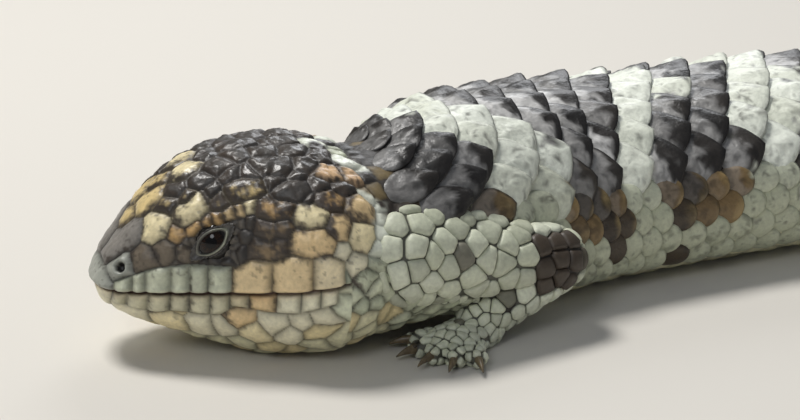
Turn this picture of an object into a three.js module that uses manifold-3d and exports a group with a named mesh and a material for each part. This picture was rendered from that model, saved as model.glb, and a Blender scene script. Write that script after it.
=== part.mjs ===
// A shingleback, the stump-tailed kind of blue-tongued skink, lying at rest with its chin on the ground.
// The animal heads towards -X and its left flank faces -Y. Lengths are millimetres and +Z is up.
// Every surface of the trunk is placed by two coordinates: s, the distance along the spine from the
// tip of the snout, and f, the share of the way round from the middle of the back (0) down the left
// flank to the middle of the belly (1), or down the right flank (to -1).

import * as THREE from "three";
import { mergeVertices } from "three/addons/utils/BufferGeometryUtils.js";
import Module from "manifold-3d";

const wasm = await Module();
wasm.setup();

// Driving dimensions of the adult animal
const HEAD_LENGTH = 54;
const HEAD_HALF_WIDTH = 25.5;
const HEAD_HEIGHT = 39;
const TRUNK_LENGTH = 216;
const TRUNK_HALF_WIDTH = 31;
const TRUNK_HEIGHT = 35.5;
const TAIL_LENGTH = 66;
const TOTAL_LENGTH = HEAD_LENGTH + TRUNK_LENGTH + TAIL_LENGTH;
const TAIL_START = HEAD_LENGTH + TRUNK_LENGTH;
const JOINT_GAP = 0.3;
const FLOOR_SINK = 2;
const NECK_CLEARANCE = 4;

// Where the spine's frame starts, so that the origin lies under the middle of the animal
const START_X = -164.55;
const START_Y = -1.63;

// Small helpers
const radians = THREE.MathUtils.degToRad;
const clamp = THREE.MathUtils.clamp;
const lerp = THREE.MathUtils.lerp;

// A repeatable random number from 0 to 1 for each seed
function chance(seed) {
  const wave = Math.sin(seed * 12.9898 + 4.1414) * 43758.5453;
  return wave - Math.floor(wave);
}

// A smooth curve through [place, value] stations that never overshoots them
function smoothCurve(stations) {
  const places = stations.map((station) => station[0]);
  const values = stations.map((station) => station[1]);
  const last = places.length - 1;
  const slopes = places.slice(1).map((place, i) => (values[i + 1] - values[i]) / (place - places[i]));
  const tangents = places.map((_, i) => {
    if (i === 0) return slopes[0];
    if (i === last) return slopes[last - 1];
    if (slopes[i - 1] * slopes[i] <= 0) return 0;
    return 2 / (1 / slopes[i - 1] + 1 / slopes[i]);
  });
  return (at) => {
    const x = clamp(at, places[0], places[last]);
    let i = 0;
    while (i < last - 1 && x > places[i + 1]) i += 1;
    const span = places[i + 1] - places[i];
    const t = (x - places[i]) / span;
    const u = 1 - t;
    return (
      values[i] * u * u * (1 + 2 * t) +
      values[i + 1] * t * t * (3 - 2 * t) +
      span * (tangents[i] * t * u * u - tangents[i + 1] * t * t * u)
    );
  };
}

// Stations given as shares of a part's length and size, in millimetres along the spine
function scaled(start, length, size, shares) {
  return shares.map(([along, share]) => [start + along * length, share * size]);
}

// How the animal lies: the way the spine heads, in degrees from +X towards +Y
const heading = smoothCurve([
  [0, -13],
  [49, -13],
  [66, 25],
  [80, 31],
  [98, 18],
  [125, 3],
  [160, -1],
  [TAIL_START, -5],
  [TOTAL_LENGTH, 12],
]);

// Half the width, the height of the back, of the widest level and of the underside
const halfWidth = smoothCurve([
  ...scaled(0, HEAD_LENGTH, HEAD_HALF_WIDTH, [
    [0, 0.16], [0.03, 0.27], [0.1, 0.38], [0.2, 0.49], [0.32, 0.6], [0.42, 0.69],
    [0.55, 0.83], [0.67, 0.96], [0.77, 1], [0.86, 0.985], [0.92, 0.92], [0.98, 0.82],
  ]),
  ...scaled(HEAD_LENGTH, TRUNK_LENGTH, TRUNK_HALF_WIDTH, [
    [0.015, 0.66], [0.04, 0.65], [0.08, 0.69], [0.14, 0.81], [0.23, 0.93], [0.38, 0.99],
    [0.52, 1], [0.7, 0.93], [0.87, 0.72], [1, 0.54],
  ]),
  ...scaled(TAIL_START, TAIL_LENGTH, TRUNK_HALF_WIDTH, [
    [0.25, 0.49], [0.5, 0.46], [0.75, 0.37], [0.92, 0.23], [1, 0.08],
  ]),
]);
const backHeight = smoothCurve([
  ...scaled(0, HEAD_LENGTH, HEAD_HEIGHT, [
    [0, 0.45], [0.03, 0.57], [0.1, 0.7], [0.2, 0.83], [0.32, 0.91], [0.42, 0.96],
    [0.55, 1], [0.7, 1], [0.82, 0.97], [0.93, 0.93],
  ]),
  ...scaled(HEAD_LENGTH, TRUNK_LENGTH, TRUNK_HEIGHT, [
    [0.015, 1.05], [0.04, 1.1], [0.08, 1.12], [0.14, 1.1], [0.25, 1.04], [0.4, 1],
    [0.55, 1], [0.72, 0.93], [0.88, 0.77], [1, 0.65],
  ]),
  ...scaled(TAIL_START, TAIL_LENGTH, TRUNK_HEIGHT, [
    [0.25, 0.6], [0.5, 0.55], [0.75, 0.46], [0.92, 0.33], [1, 0.2],
  ]),
]);
const widestHeight = smoothCurve([
  [0, 0.38 * HEAD_HEIGHT],
  [0.3 * HEAD_LENGTH, 0.37 * HEAD_HEIGHT],
  [0.55 * HEAD_LENGTH, 0.42 * HEAD_HEIGHT],
  [0.83 * HEAD_LENGTH, 0.47 * HEAD_HEIGHT],
  [HEAD_LENGTH + 12, 0.36 * TRUNK_HEIGHT],
  [0.5 * TOTAL_LENGTH, 0.43 * TRUNK_HEIGHT],
  [TAIL_START, 0.31 * TRUNK_HEIGHT],
  [TOTAL_LENGTH, 0.12 * TRUNK_HEIGHT],
]);
const undersideHeight = smoothCurve([
  ...scaled(0, HEAD_LENGTH, HEAD_HEIGHT, [
    [0, 0.29], [0.03, 0.25], [0.1, 0.2], [0.2, 0.14], [0.32, 0.08], [0.45, 0.02], [0.58, -0.03],
    [0.78, -0.03], [0.93, 0.02],
  ]),
  [HEAD_LENGTH + 6, NECK_CLEARANCE],
  [HEAD_LENGTH + 16, NECK_CLEARANCE],
  [HEAD_LENGTH + 36, -FLOOR_SINK],
  [TAIL_START, -FLOOR_SINK],
  [TOTAL_LENGTH - 8, -FLOOR_SINK],
  [TOTAL_LENGTH, 1.5],
]);

// How square each section is, above and below its widest level (2 is an ellipse)
const upperPower = smoothCurve([
  [0, 2],
  [0.4 * HEAD_LENGTH, 2.7],
  [0.8 * HEAD_LENGTH, 2.4],
  [HEAD_LENGTH + 20, 2.1],
  [TOTAL_LENGTH, 2.1],
]);
const lowerPower = smoothCurve([
  [0, 2],
  [0.6 * HEAD_LENGTH, 2.3],
  [HEAD_LENGTH + 30, 2.5],
  [TOTAL_LENGTH, 2.3],
]);

// The spine's plan: one point for each millimetre
const spine = [new THREE.Vector2(START_X, START_Y)];
for (let s = 0; s < TOTAL_LENGTH + 2; s += 1) {
  const turn = radians(heading(s + 0.5));
  spine.push(spine[s].clone().add(new THREE.Vector2(Math.cos(turn), Math.sin(turn))));
}

const SIDES = { left: 1, right: -1 };

// A point given by its place along the spine, its distance to the animal's left and its height
function place(s, left, height) {
  const i = clamp(Math.floor(s), 0, spine.length - 2);
  const centre = spine[i].clone().lerp(spine[i + 1], s - i);
  const turn = radians(heading(s));
  return new THREE.Vector3(
    centre.x + Math.sin(turn) * left,
    centre.y - Math.cos(turn) * left,
    height,
  );
}

// How far a section's outline lies from its middle, at an angle from straight up
function sectionRadius(section, angle, grow) {
  const across = Math.sin(angle);
  const up = Math.cos(angle);
  const tall = up > 0 ? section.top - section.middle : section.middle - section.bottom;
  const power = up > 0 ? section.upper : section.lower;
  const sum =
    Math.abs(across / (section.half + grow)) ** power + Math.abs(up / (tall + grow)) ** power;
  return sum ** (-1 / power);
}

// A section of the body, with the angles that share its half outline out evenly
const ARC_STEPS = 48;
const sections = new Map();
function sectionAt(s) {
  if (sections.has(s)) return sections.get(s);
  const section = {
    half: halfWidth(s),
    top: backHeight(s),
    middle: widestHeight(s),
    bottom: undersideHeight(s),
    upper: upperPower(s),
    lower: lowerPower(s),
    lengths: [0],
  };
  let before = null;
  for (let k = 0; k <= ARC_STEPS; k += 1) {
    const angle = (Math.PI * k) / ARC_STEPS;
    const radius = sectionRadius(section, angle, 0);
    const here = new THREE.Vector2(Math.sin(angle), Math.cos(angle)).multiplyScalar(radius);
    if (before) section.lengths.push(section.lengths[k - 1] + here.distanceTo(before));
    before = here;
  }
  section.reach = section.lengths[ARC_STEPS];
  sections.set(s, section);
  return section;
}

// The angle from straight up at a share of the way round
function angleAt(section, f) {
  const wanted = Math.min(Math.abs(f), 1) * section.reach;
  let k = 0;
  while (k < ARC_STEPS - 1 && section.lengths[k + 1] < wanted) k += 1;
  const part = (wanted - section.lengths[k]) / (section.lengths[k + 1] - section.lengths[k]);
  return ((k + part) * Math.PI * Math.sign(f || 1)) / ARC_STEPS;
}

// The trunk, head and tail as one surface
const bodySurface = {
  point(s, f, grow = 0) {
    const section = sectionAt(s);
    const angle = angleAt(section, f);
    const radius = sectionRadius(section, angle, grow);
    const height = section.middle + radius * Math.cos(angle);
    return place(s, radius * Math.sin(angle), Math.max(height, 0));
  },
  reach: (s) => sectionAt(s).reach,
};

// The outward direction of a surface at one of its points
function outward(surface, s, f) {
  const along = surface.point(s + 0.4, f).sub(surface.point(s - 0.4, f));
  const around = surface.point(s, f + 0.01).sub(surface.point(s, f - 0.01));
  return around.cross(along).normalize();
}

// A closed solid from corner points and triangles, turned the right way out
function solidOf(points, triangles) {
  const geometry = new THREE.BufferGeometry().setFromPoints(points);
  geometry.setIndex(triangles.flat());
  return asSolid(geometry);
}

// A three.js geometry as a solid that can be joined and cut
function asSolid(geometry) {
  geometry.deleteAttribute("normal");
  geometry.deleteAttribute("uv");
  const merged = mergeVertices(geometry, 1e-4);
  const vertProperties = merged.attributes.position.array;
  const triVerts = new Uint32Array(merged.index.array);
  const made = new wasm.Manifold(new wasm.Mesh({ numProp: 3, vertProperties, triVerts }));
  if (made.volume() >= 0) return made;
  for (let i = 0; i < triVerts.length; i += 3)
    [triVerts[i + 1], triVerts[i + 2]] = [triVerts[i + 2], triVerts[i + 1]];
  return new wasm.Manifold(new wasm.Mesh({ numProp: 3, vertProperties, triVerts }));
}

// A closed solid through rings of points, with a flat fan over each end
function throughRings(rings) {
  const around = rings[0].length;
  const points = rings.flat();
  const triangles = [];
  for (let k = 0; k < rings.length - 1; k += 1) {
    for (let i = 0; i < around; i += 1) {
      const a = k * around + i;
      const b = k * around + ((i + 1) % around);
      triangles.push([a, b, a + around], [b, b + around, a + around]);
    }
  }
  for (const [ring, first] of [[0, 0], [rings.length - 1, (rings.length - 1) * around]]) {
    const centre = new THREE.Vector3();
    rings[ring].forEach((point) => centre.addScaledVector(point, 1 / around));
    points.push(centre);
    for (let i = 0; i < around; i += 1) {
      const pair = [first + i, first + ((i + 1) % around)];
      triangles.push(ring === 0 ? [pair[1], pair[0], points.length - 1] : [...pair, points.length - 1]);
    }
  }
  return solidOf(points, triangles);
}

// A length of the body between two places along the spine
function bodyLength(from, to, stations, around, grow = 0) {
  const places = [from, ...stations.filter((s) => s > from + 0.5 && s < to - 0.5), to];
  return throughRings(
    places.map((s) =>
      Array.from({ length: around }, (_, i) => bodySurface.point(s, (2 * i + 1) / around - 1, grow)),
    ),
  );
}

// Stations a step or a little less apart, with both ends
function evenly(from, to, step) {
  const count = Math.ceil((to - from) / step);
  return Array.from({ length: count + 1 }, (_, i) => lerp(from, to, i / count));
}

// Only the largest closed surface of a solid, which drops scraps and fills sealed hollows
function largest(solid) {
  return solid.decompose().reduce((best, piece) => (piece.volume() > best.volume() ? piece : best));
}

function union(solids) {
  return wasm.Manifold.union(solids);
}

// A solid block over a side outline in the head's own plane, where s runs back from the snout
const BLOCK_HALF = 60;
function blockAcrossHead(outline) {
  const shape = new THREE.Shape(outline.map(([s, height]) => new THREE.Vector2(s, height)));
  const geometry = new THREE.ExtrudeGeometry(shape, { depth: 2 * BLOCK_HALF, bevelEnabled: false });
  const turn = radians(heading(0));
  geometry.rotateX(Math.PI / 2);
  geometry.translate(0, BLOCK_HALF, 0);
  geometry.rotateZ(turn);
  geometry.translate(START_X, START_Y, 0);
  return asSolid(geometry);
}

// The mouth line, from the tip of the snout back to its corner, then down behind the jaw
const MOUTH_CORNER = 0.8 * HEAD_LENGTH;
const mouthHeight = smoothCurve([
  [0, 0.35 * HEAD_HEIGHT],
  [0.2 * HEAD_LENGTH, 0.37 * HEAD_HEIGHT],
  [0.5 * HEAD_LENGTH, 0.4 * HEAD_HEIGHT],
  [MOUTH_CORNER, 0.46 * HEAD_HEIGHT],
]);
const mouthLine = evenly(-4, MOUTH_CORNER, 8).map((s) => [s, mouthHeight(s)]);
const jawBlock = (raise) =>
  blockAcrossHead([
    ...mouthLine.map(([s, height]) => [s, height + raise]),
    [MOUTH_CORNER + 1.5 + raise, 0.38 * HEAD_HEIGHT],
    [MOUTH_CORNER + 5 + raise, -6],
    [-4, -6],
  ]);

// A tapered length of limb between two joints as a surface: s runs along it, f goes round from the top
function limbSurface(from, to, startRadius, endRadius, flat = 1) {
  const axis = to.clone().sub(from);
  const length = axis.length();
  axis.normalize();
  const across = new THREE.Vector3(0, 0, 1).cross(axis).normalize();
  const up = axis.clone().cross(across);
  const radiusAt = (s) => lerp(startRadius, endRadius, clamp(s / length, 0, 1));
  return {
    across,
    length,
    startRadius,
    endRadius,
    reach: (s) => Math.PI * radiusAt(s),
    point(s, f, grow = 0) {
      const radius = radiusAt(s) + grow;
      return from
        .clone()
        .addScaledVector(axis, s)
        .addScaledVector(across, Math.sin(Math.PI * f) * radius)
        .addScaledVector(up, Math.cos(Math.PI * f) * radius * flat);
    },
  };
}

// The solid of such a length, with round ends made of the given steps
const LIMB_SIDES = 10;
const ROUND_END = [[0.94, 0.34], [0.64, 0.77]];
function limbSolid(surface, sides = LIMB_SIDES) {
  const { length, startRadius, endRadius } = surface;
  const stations = [
    ...ROUND_END.map(([along, share]) => [-along * startRadius, (share - 1) * startRadius]),
    [0, 0],
    [length, 0],
    ...ROUND_END.toReversed().map(
      ([along, share]) => [length + along * endRadius, (share - 1) * endRadius],
    ),
  ];
  return throughRings(
    stations.map(([s, grow]) =>
      Array.from({ length: sides }, (_, i) => surface.point(s, (2 * i + 1) / sides, grow)),
    ),
  );
}

// A raised plate on a surface: a ring of [back, aside, rise] corners and a peak, with its root sunk in.
// Back and aside are shares of the plate's half length and half width, and rises are millimetres.
const ROOT_DEPTH = 1.3;
const ROOT_SHARE = 0.86;
function plate(surface, at, half, form, lift = 1) {
  const share = half.width / surface.reach(at.s);
  const corner = ([back, aside], rise, size = 1) =>
    surface.point(at.s + back * size * half.length, at.f + aside * size * share, rise);
  const { ring, peak } = form;
  const points = [
    ...ring.map((shares) => corner(shares, shares[2] * lift)),
    ...ring.map((shares) => corner(shares, -ROOT_DEPTH, ROOT_SHARE)),
    corner(peak, peak[2] * lift),
  ];
  const count = ring.length;
  const triangles = [];
  for (let i = 0; i < count; i += 1) {
    const next = (i + 1) % count;
    triangles.push([i, next, 2 * count], [i, i + count, next], [next, i + count, next + count]);
    if (i > 0 && i < count - 1) triangles.push([count, count + next, count + i]);
  }
  return solidOf(points, triangles);
}
const SCUTE = {
  ring: [[-0.93, 0, 0.3], [0.1, 0.7, 0.7], [0.97, 0, 1.6], [0.1, -0.7, 0.7]],
  peak: [0.45, 0, 2.1],
};
const SHIELD = {
  ring: [
    [-0.94, 0, 0.4], [-0.4, 0.92, 0.5], [0.4, 0.92, 0.7], [0.94, 0, 0.9], [0.4, -0.92, 0.7], [-0.4, -0.92, 0.5],
  ],
  peak: [0.2, 0, 1.2],
};
const ROUND = {
  ring: [[-0.9, 0, 0.5], [0, 0.9, 0.5], [0.9, 0, 0.6], [0, -0.9, 0.5]],
  peak: [0.1, 0, 1.1],
};
const TILE = {
  ring: [[-0.93, -0.92, 0.4], [-0.93, 0.92, 0.4], [0.93, 0.92, 0.4], [0.93, -0.92, 0.4]],
  peak: [0, 0, 0.8],
};

// The scutes of the back and flanks: rows that run back, each half a length past the one beside it
const SCUTE_LENGTH = 16;
const SCUTE_ROW_WIDTH = 11;
const SCUTE_EDGE = 0.58;
const SCUTE_START = HEAD_LENGTH + 6;
const LOW_FLANK = 0.45;
function scutesAlong(from, to) {
  const solids = [];
  const rows = Math.ceil(90 / SCUTE_ROW_WIDTH);
  for (let row = -rows; row <= rows; row += 1) {
    const first = SCUTE_START + (row % 2 === 0 ? 0 : 0.5 * SCUTE_LENGTH);
    for (let s = first; s < TOTAL_LENGTH - 3; s += SCUTE_LENGTH) {
      const f = (row * SCUTE_ROW_WIDTH) / bodySurface.reach(s);
      if (Math.abs(f) > SCUTE_EDGE) continue;
      if (s < from - 0.3 * SCUTE_LENGTH || s > to + 0.3 * SCUTE_LENGTH) continue;
      const seed = row * 131 + Math.round(s * 7);
      const low = clamp((Math.abs(f) - LOW_FLANK) / (SCUTE_EDGE - LOW_FLANK), 0, 1);
      const lift = lerp(1, 0.5, low) * (0.85 + 0.3 * chance(seed));
      const size = 1 - 0.06 * chance(seed + 1);
      const half = { length: 0.5 * SCUTE_LENGTH * size, width: SCUTE_ROW_WIDTH * size };
      solids.push(plate(bodySurface, { s, f }, half, SCUTE, lift));
    }
  }
  return union(solids);
}

// The eyes sit in sockets, each with a ring of lid round it
const EYE = { s: 0.38 * HEAD_LENGTH, f: 0.385, radius: 4.1, depth: 3.1, lid: 3.5, lidTube: 0.85 };
function eyeCentre(side, depth) {
  const surfacePoint = bodySurface.point(EYE.s, side * EYE.f);
  return surfacePoint.addScaledVector(outward(bodySurface, EYE.s, side * EYE.f), -depth);
}

function ball(centre, radius, detail) {
  const geometry = new THREE.IcosahedronGeometry(radius, detail);
  geometry.translate(centre.x, centre.y, centre.z);
  return asSolid(geometry);
}

function lidRing(side) {
  const geometry = new THREE.TorusGeometry(EYE.lid, EYE.lidTube, 4, 14);
  const facing = outward(bodySurface, EYE.s, side * EYE.f);
  geometry.applyQuaternion(new THREE.Quaternion().setFromUnitVectors(new THREE.Vector3(0, 0, 1), facing));
  const centre = eyeCentre(side, 0);
  geometry.translate(centre.x, centre.y, centre.z);
  return asSolid(geometry);
}

// The share of the way round at which the body's surface is at a given height
function shareAtHeight(s, height) {
  let [high, low] = [0, 1];
  for (let i = 0; i < 24; i += 1) {
    const middle = (high + low) / 2;
    if (bodySurface.point(s, middle).z > height) high = middle;
    else low = middle;
  }
  return (high + low) / 2;
}

// The brow: a row of small plates in an arc over the eye
const BROW = { count: 5, radius: 6, spread: 62, length: 1.7, width: 1.5 };
function browPlates(side) {
  return Array.from({ length: BROW.count }, (_, i) => {
    const turn = radians(lerp(-BROW.spread, BROW.spread, i / (BROW.count - 1)));
    const s = EYE.s + BROW.radius * Math.sin(turn);
    const f = EYE.f - (BROW.radius * Math.cos(turn)) / bodySurface.reach(s);
    return plate(bodySurface, { s, f: side * f }, { length: BROW.length, width: BROW.width }, SHIELD, 1.3);
  });
}

// The lip plates, which grow longer towards the corner of the mouth
const LIP = { start: 3.2, front: 5.4, rear: 9.2, height: 4.4 };
function lipPlates(surface, side, level) {
  const solids = [];
  let s = LIP.start;
  while (s < MOUTH_CORNER - 1) {
    const length = lerp(LIP.front, LIP.rear, (s / MOUTH_CORNER) ** 1.5);
    const middle = s + length / 2;
    const f = side * shareAtHeight(middle, mouthHeight(middle) + level);
    solids.push(plate(surface, { s: middle, f }, { length: length / 2, width: LIP.height / 2 }, TILE));
    s += length;
  }
  return solids;
}

// The shields of the crown, the temples and the jowls: offset rows across the head
const CROWN = {
  start: 6.5, end: HEAD_LENGTH - 3, edge: 0.74, step: 9, width: 11, eyeClear: 9.4, lipClear: 6.8,
};
function crownShields() {
  const solids = [];
  const rows = Math.round((CROWN.end - CROWN.start) / CROWN.step);
  for (let row = 0; row <= rows; row += 1) {
    const s = lerp(CROWN.start, CROWN.end, row / rows);
    const offset = row % 2 === 0 ? 0 : 0.5;
    for (let column = -7; column <= 7; column += 1) {
      const f = ((column + offset) * CROWN.width) / bodySurface.reach(s);
      if (Math.abs(f) > CROWN.edge) continue;
      const centre = bodySurface.point(s, f);
      const eyeDistance = centre.distanceTo(eyeCentre(Math.sign(f || 1), 0));
      const overLip = s > MOUTH_CORNER || centre.z > mouthHeight(s) + CROWN.lipClear;
      if (eyeDistance < CROWN.eyeClear || !overLip) continue;
      const seed = row * 57 + column * 13;
      const half = { length: 0.68 * CROWN.step, width: 0.5 * CROWN.width };
      solids.push(plate(bodySurface, { s, f }, half, SHIELD, 0.8 + 0.5 * chance(seed)));
    }
  }
  return solids;
}

// The throat shields on the jaw, below the lip plates
const THROAT = { start: 15, step: 10.4, width: 11, lipClear: 5.4, floorClear: 3 };
function throatShields(surface) {
  const solids = [];
  for (let row = 0; THROAT.start + row * THROAT.step < MOUTH_CORNER; row += 1) {
    const s = THROAT.start + row * THROAT.step;
    const offset = row % 2 === 0 ? 0 : 0.5;
    for (let column = -6; column <= 6; column += 1) {
      const round = ((column + offset) * THROAT.width) / bodySurface.reach(s);
      const f = (1 - Math.abs(round)) * (round < 0 ? -1 : 1);
      const height = bodySurface.point(s, f).z;
      if (height > mouthHeight(s) - THROAT.lipClear || height < THROAT.floorClear) continue;
      const half = { length: 0.68 * THROAT.step, width: 0.5 * THROAT.width };
      solids.push(plate(surface, { s, f }, half, SHIELD, 0.6));
    }
  }
  return solids;
}

// The body in its lengths, head to tail, each a plain solid first
const NECK_END = HEAD_LENGTH + 24;
const TORSO_MIDDLE = HEAD_LENGTH + 0.52 * TRUNK_LENGTH;
const TAIL_TIP = TOTAL_LENGTH - 0.5;
const HEAD_SIDES = 24;
const headStations = [0.02, 0.06, 0.13, 0.22, 0.34, 0.48, 0.62, 0.75, 0.85, 0.92].map(
  (share) => share * HEAD_LENGTH,
);
const headPlain = (grow) => bodyLength(0.4, HEAD_LENGTH, headStations, HEAD_SIDES, grow);
const lengths = {
  neck: {
    from: HEAD_LENGTH + JOINT_GAP, to: NECK_END, stations: evenly(HEAD_LENGTH, NECK_END, 14), around: 20,
  },
  torso_front: {
    from: NECK_END + JOINT_GAP, to: TORSO_MIDDLE, stations: evenly(NECK_END, TORSO_MIDDLE, 14), around: 20,
  },
  torso_rear: {
    from: TORSO_MIDDLE + JOINT_GAP, to: TAIL_START,
    stations: evenly(TORSO_MIDDLE, TAIL_START, 14), around: 20,
  },
  tail: {
    from: TAIL_START + JOINT_GAP, to: TAIL_TIP, around: 18,
    stations: [...evenly(TAIL_START, TOTAL_LENGTH - 8, 14), TOTAL_LENGTH - 4, TOTAL_LENGTH - 2],
  },
};
const CLEARANCE = 1.5 * JOINT_GAP;
const NAPE_LAP = 2;
const trunkStations = [...new Set(Object.values(lengths).flatMap((length) => length.stations))];
const trunkGrown = union([
  headPlain(CLEARANCE),
  bodyLength(HEAD_LENGTH - NAPE_LAP, TAIL_TIP, trunkStations, lengths.neck.around, CLEARANCE),
]);

// The limbs: each joint by its place along the spine, distance from it, height and radius
const limbs = {
  foreleg: {
    left: { root: [54, 16, 20, 8.5], bend: [75, 26.5, 14, 6.2], end: [63, 20, 5, 4.4], heading: 176 },
    right: { root: [66, 13, 16, 8.5], bend: [84, 30, 11, 6.2], end: [76, 42, 5.2, 4.4], heading: 128 },
    foot: { length: 9, half: 4.6, height: 3, spread: [-46, -22, 0, 22, 48], toe: [4.5, 5.5, 6, 5.5, 4] },
  },
  hindleg: {
    left: { root: [244, 12, 13, 9.5], bend: [229, 34, 10, 6.8], end: [246, 43, 5.4, 4.6], heading: 40 },
    right: { root: [246, 12, 13, 9.5], bend: [236, 35, 10, 6.8], end: [256, 40, 5.4, 4.6], heading: 28 },
    foot: { length: 11, half: 4.8, height: 3, spread: [-48, -24, -4, 16, 44], toe: [4, 6, 7, 6.5, 5] },
  },
};
const TOE = { radius: 1.9, sides: 5, claw: 3.6 };

// A toe lying on the floor, tapering into its claw
function toeSolid(start, out, length) {
  const reach = length + TOE.radius;
  const stations = [
    [-1, 0.9, 0.9], [length * 0.5, 1.05, 1], [length, 0.95, 0.95], [reach, 0.6, 0.85],
    [reach + TOE.claw, 0.14, 0.3],
  ];
  const across = new THREE.Vector3(-out.y, out.x, 0);
  return throughRings(
    stations.map(([along, radius, height]) =>
      Array.from({ length: TOE.sides }, (_, i) => {
        const turn = (2 * Math.PI * i) / TOE.sides;
        const point = start.clone().addScaledVector(out, along);
        point.addScaledVector(across, Math.sin(turn) * radius * TOE.radius);
        point.z = (height + Math.cos(turn) * radius) * TOE.radius;
        return point;
      }),
    ),
  );
}

// A foot on the floor: a flat palm and five toes
function footSolid(wrist, foot, forwards, side) {
  const way = (degrees) => {
    const at = forwards - side * radians(degrees);
    return new THREE.Vector3(Math.cos(at), Math.sin(at), 0);
  };
  const heel = new THREE.Vector3(wrist.x, wrist.y, foot.height - 0.4);
  const knuckles = heel.clone().addScaledVector(way(0), foot.length);
  const palm = limbSolid(limbSurface(heel, knuckles, foot.half, foot.half * 1.05, 0.72), 6);
  const toes = foot.spread.map((degrees, i) => {
    const start = heel.clone().addScaledVector(way(degrees * 0.55), foot.length + 0.5);
    return toeSolid(start, way(degrees), foot.toe[i]);
  });
  return union([palm, ...toes]);
}

// The rounded scales on the outer side of a length of limb
const LIMB_SCALE = { length: 10, width: 8, start: 1.3, from: -0.05, to: 0.72 };
function limbScales(surface, outwards) {
  const sign = Math.sign(surface.across.dot(outwards));
  const solids = [];
  const rows = Math.floor((surface.length - LIMB_SCALE.start) / (0.5 * LIMB_SCALE.length));
  for (let row = 0; row <= rows; row += 1) {
    const s = LIMB_SCALE.start + row * 0.5 * LIMB_SCALE.length;
    const step = LIMB_SCALE.width / surface.reach(s);
    for (let f = LIMB_SCALE.from + (row % 2) * step; f < LIMB_SCALE.to; f += 2 * step) {
      const half = { length: 0.5 * LIMB_SCALE.length, width: 0.63 * LIMB_SCALE.width };
      solids.push(plate(surface, { s, f: sign * f }, half, ROUND, 0.9));
    }
  }
  return solids;
}

// The nodes of one limb, and the space round it that the scutes of the trunk leave free
const LIMB_SPACE = 1.5;
function limbNodes(kind, sideName) {
  const side = SIDES[sideName];
  const limb = limbs[kind][sideName];
  const joint = ([s, left, height]) => place(s, side * left, height);
  const [root, bend, end] = [limb.root, limb.bend, limb.end].map(joint);
  const outwards = place(limb.bend[0], side, 0).sub(place(limb.bend[0], 0, 0));
  const upperSurface = (grow) => limbSurface(root, bend, limb.root[3] + grow, limb.bend[3] + grow);
  const lowerSurface = (grow) => limbSurface(bend, end, limb.bend[3] + grow, limb.end[3] + grow);
  const scaly = (surface) => union([limbSolid(surface), ...limbScales(surface, outwards)]);
  const forwards = radians(heading(limb.end[0]) - side * limb.heading);
  const foot = footSolid(end, limbs[kind].foot, forwards, side);
  const toRoot = root.clone().sub(bend).normalize();
  const toEnd = end.clone().sub(bend).normalize();
  const bendWay = toRoot.clone().sub(toEnd).normalize();
  const cut = (solid, way, at, keep) => {
    const normal = way.clone().multiplyScalar(keep);
    return solid.trimByPlane(normal.toArray(), normal.dot(at) + JOINT_GAP / 2);
  };
  const clear = (solid) => largest(solid.trimByPlane([0, 0, 1], 0).subtract(trunkGrown));
  return {
    upper: clear(cut(scaly(upperSurface(0)), bendWay, bend, 1)),
    lower: clear(cut(cut(scaly(lowerSurface(0)), bendWay, bend, -1), toEnd, end, -1)),
    foot: clear(cut(foot, toEnd, end, 1)),
    space: union([limbSolid(upperSurface(LIMB_SPACE)), limbSolid(lowerSurface(LIMB_SPACE))]),
  };
}
const SEGMENTS = {
  foreleg: { upper: "upper_arm", lower: "forearm", foot: "hand" },
  hindleg: { upper: "thigh", lower: "shank", foot: "hind_foot" },
};

// All the nodes, each with its material
const skins = {
  dark: { color: 0x3a3733, roughness: 0.45 },
  brown: { color: 0x4a443b, roughness: 0.45 },
  cream: { color: 0xb9b48f, roughness: 0.5 },
  pale: { color: 0xaab09a, roughness: 0.55 },
  eye: { color: 0x0c0b0b, roughness: 0.08 },
};
const nodes = new Map();
const limbSpaces = [];
for (const sideName of Object.keys(SIDES)) {
  for (const kind of Object.keys(limbs)) {
    const made = limbNodes(kind, sideName);
    limbSpaces.push(made.space);
    for (const [segment, name] of Object.entries(SEGMENTS[kind]))
      nodes.set(`${name}_${sideName}`, [made[segment], skins.pale]);
  }
}
const limbSpace = union(limbSpaces);

// A length of the body with its scutes, which stop at the length's ends and at the limbs
const SCUTE_ROOM = 5;
const SCUTE_INSET = 0.15;
for (const [name, { from, to, stations, around }] of Object.entries(lengths)) {
  const room = bodyLength(from + SCUTE_INSET, to - SCUTE_INSET, stations, around, SCUTE_ROOM);
  const scutes = scutesAlong(from, to).intersect(room).subtract(limbSpace);
  nodes.set(name, [bodyLength(from, to, stations, around).add(scutes), skins.dark]);
}

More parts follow.
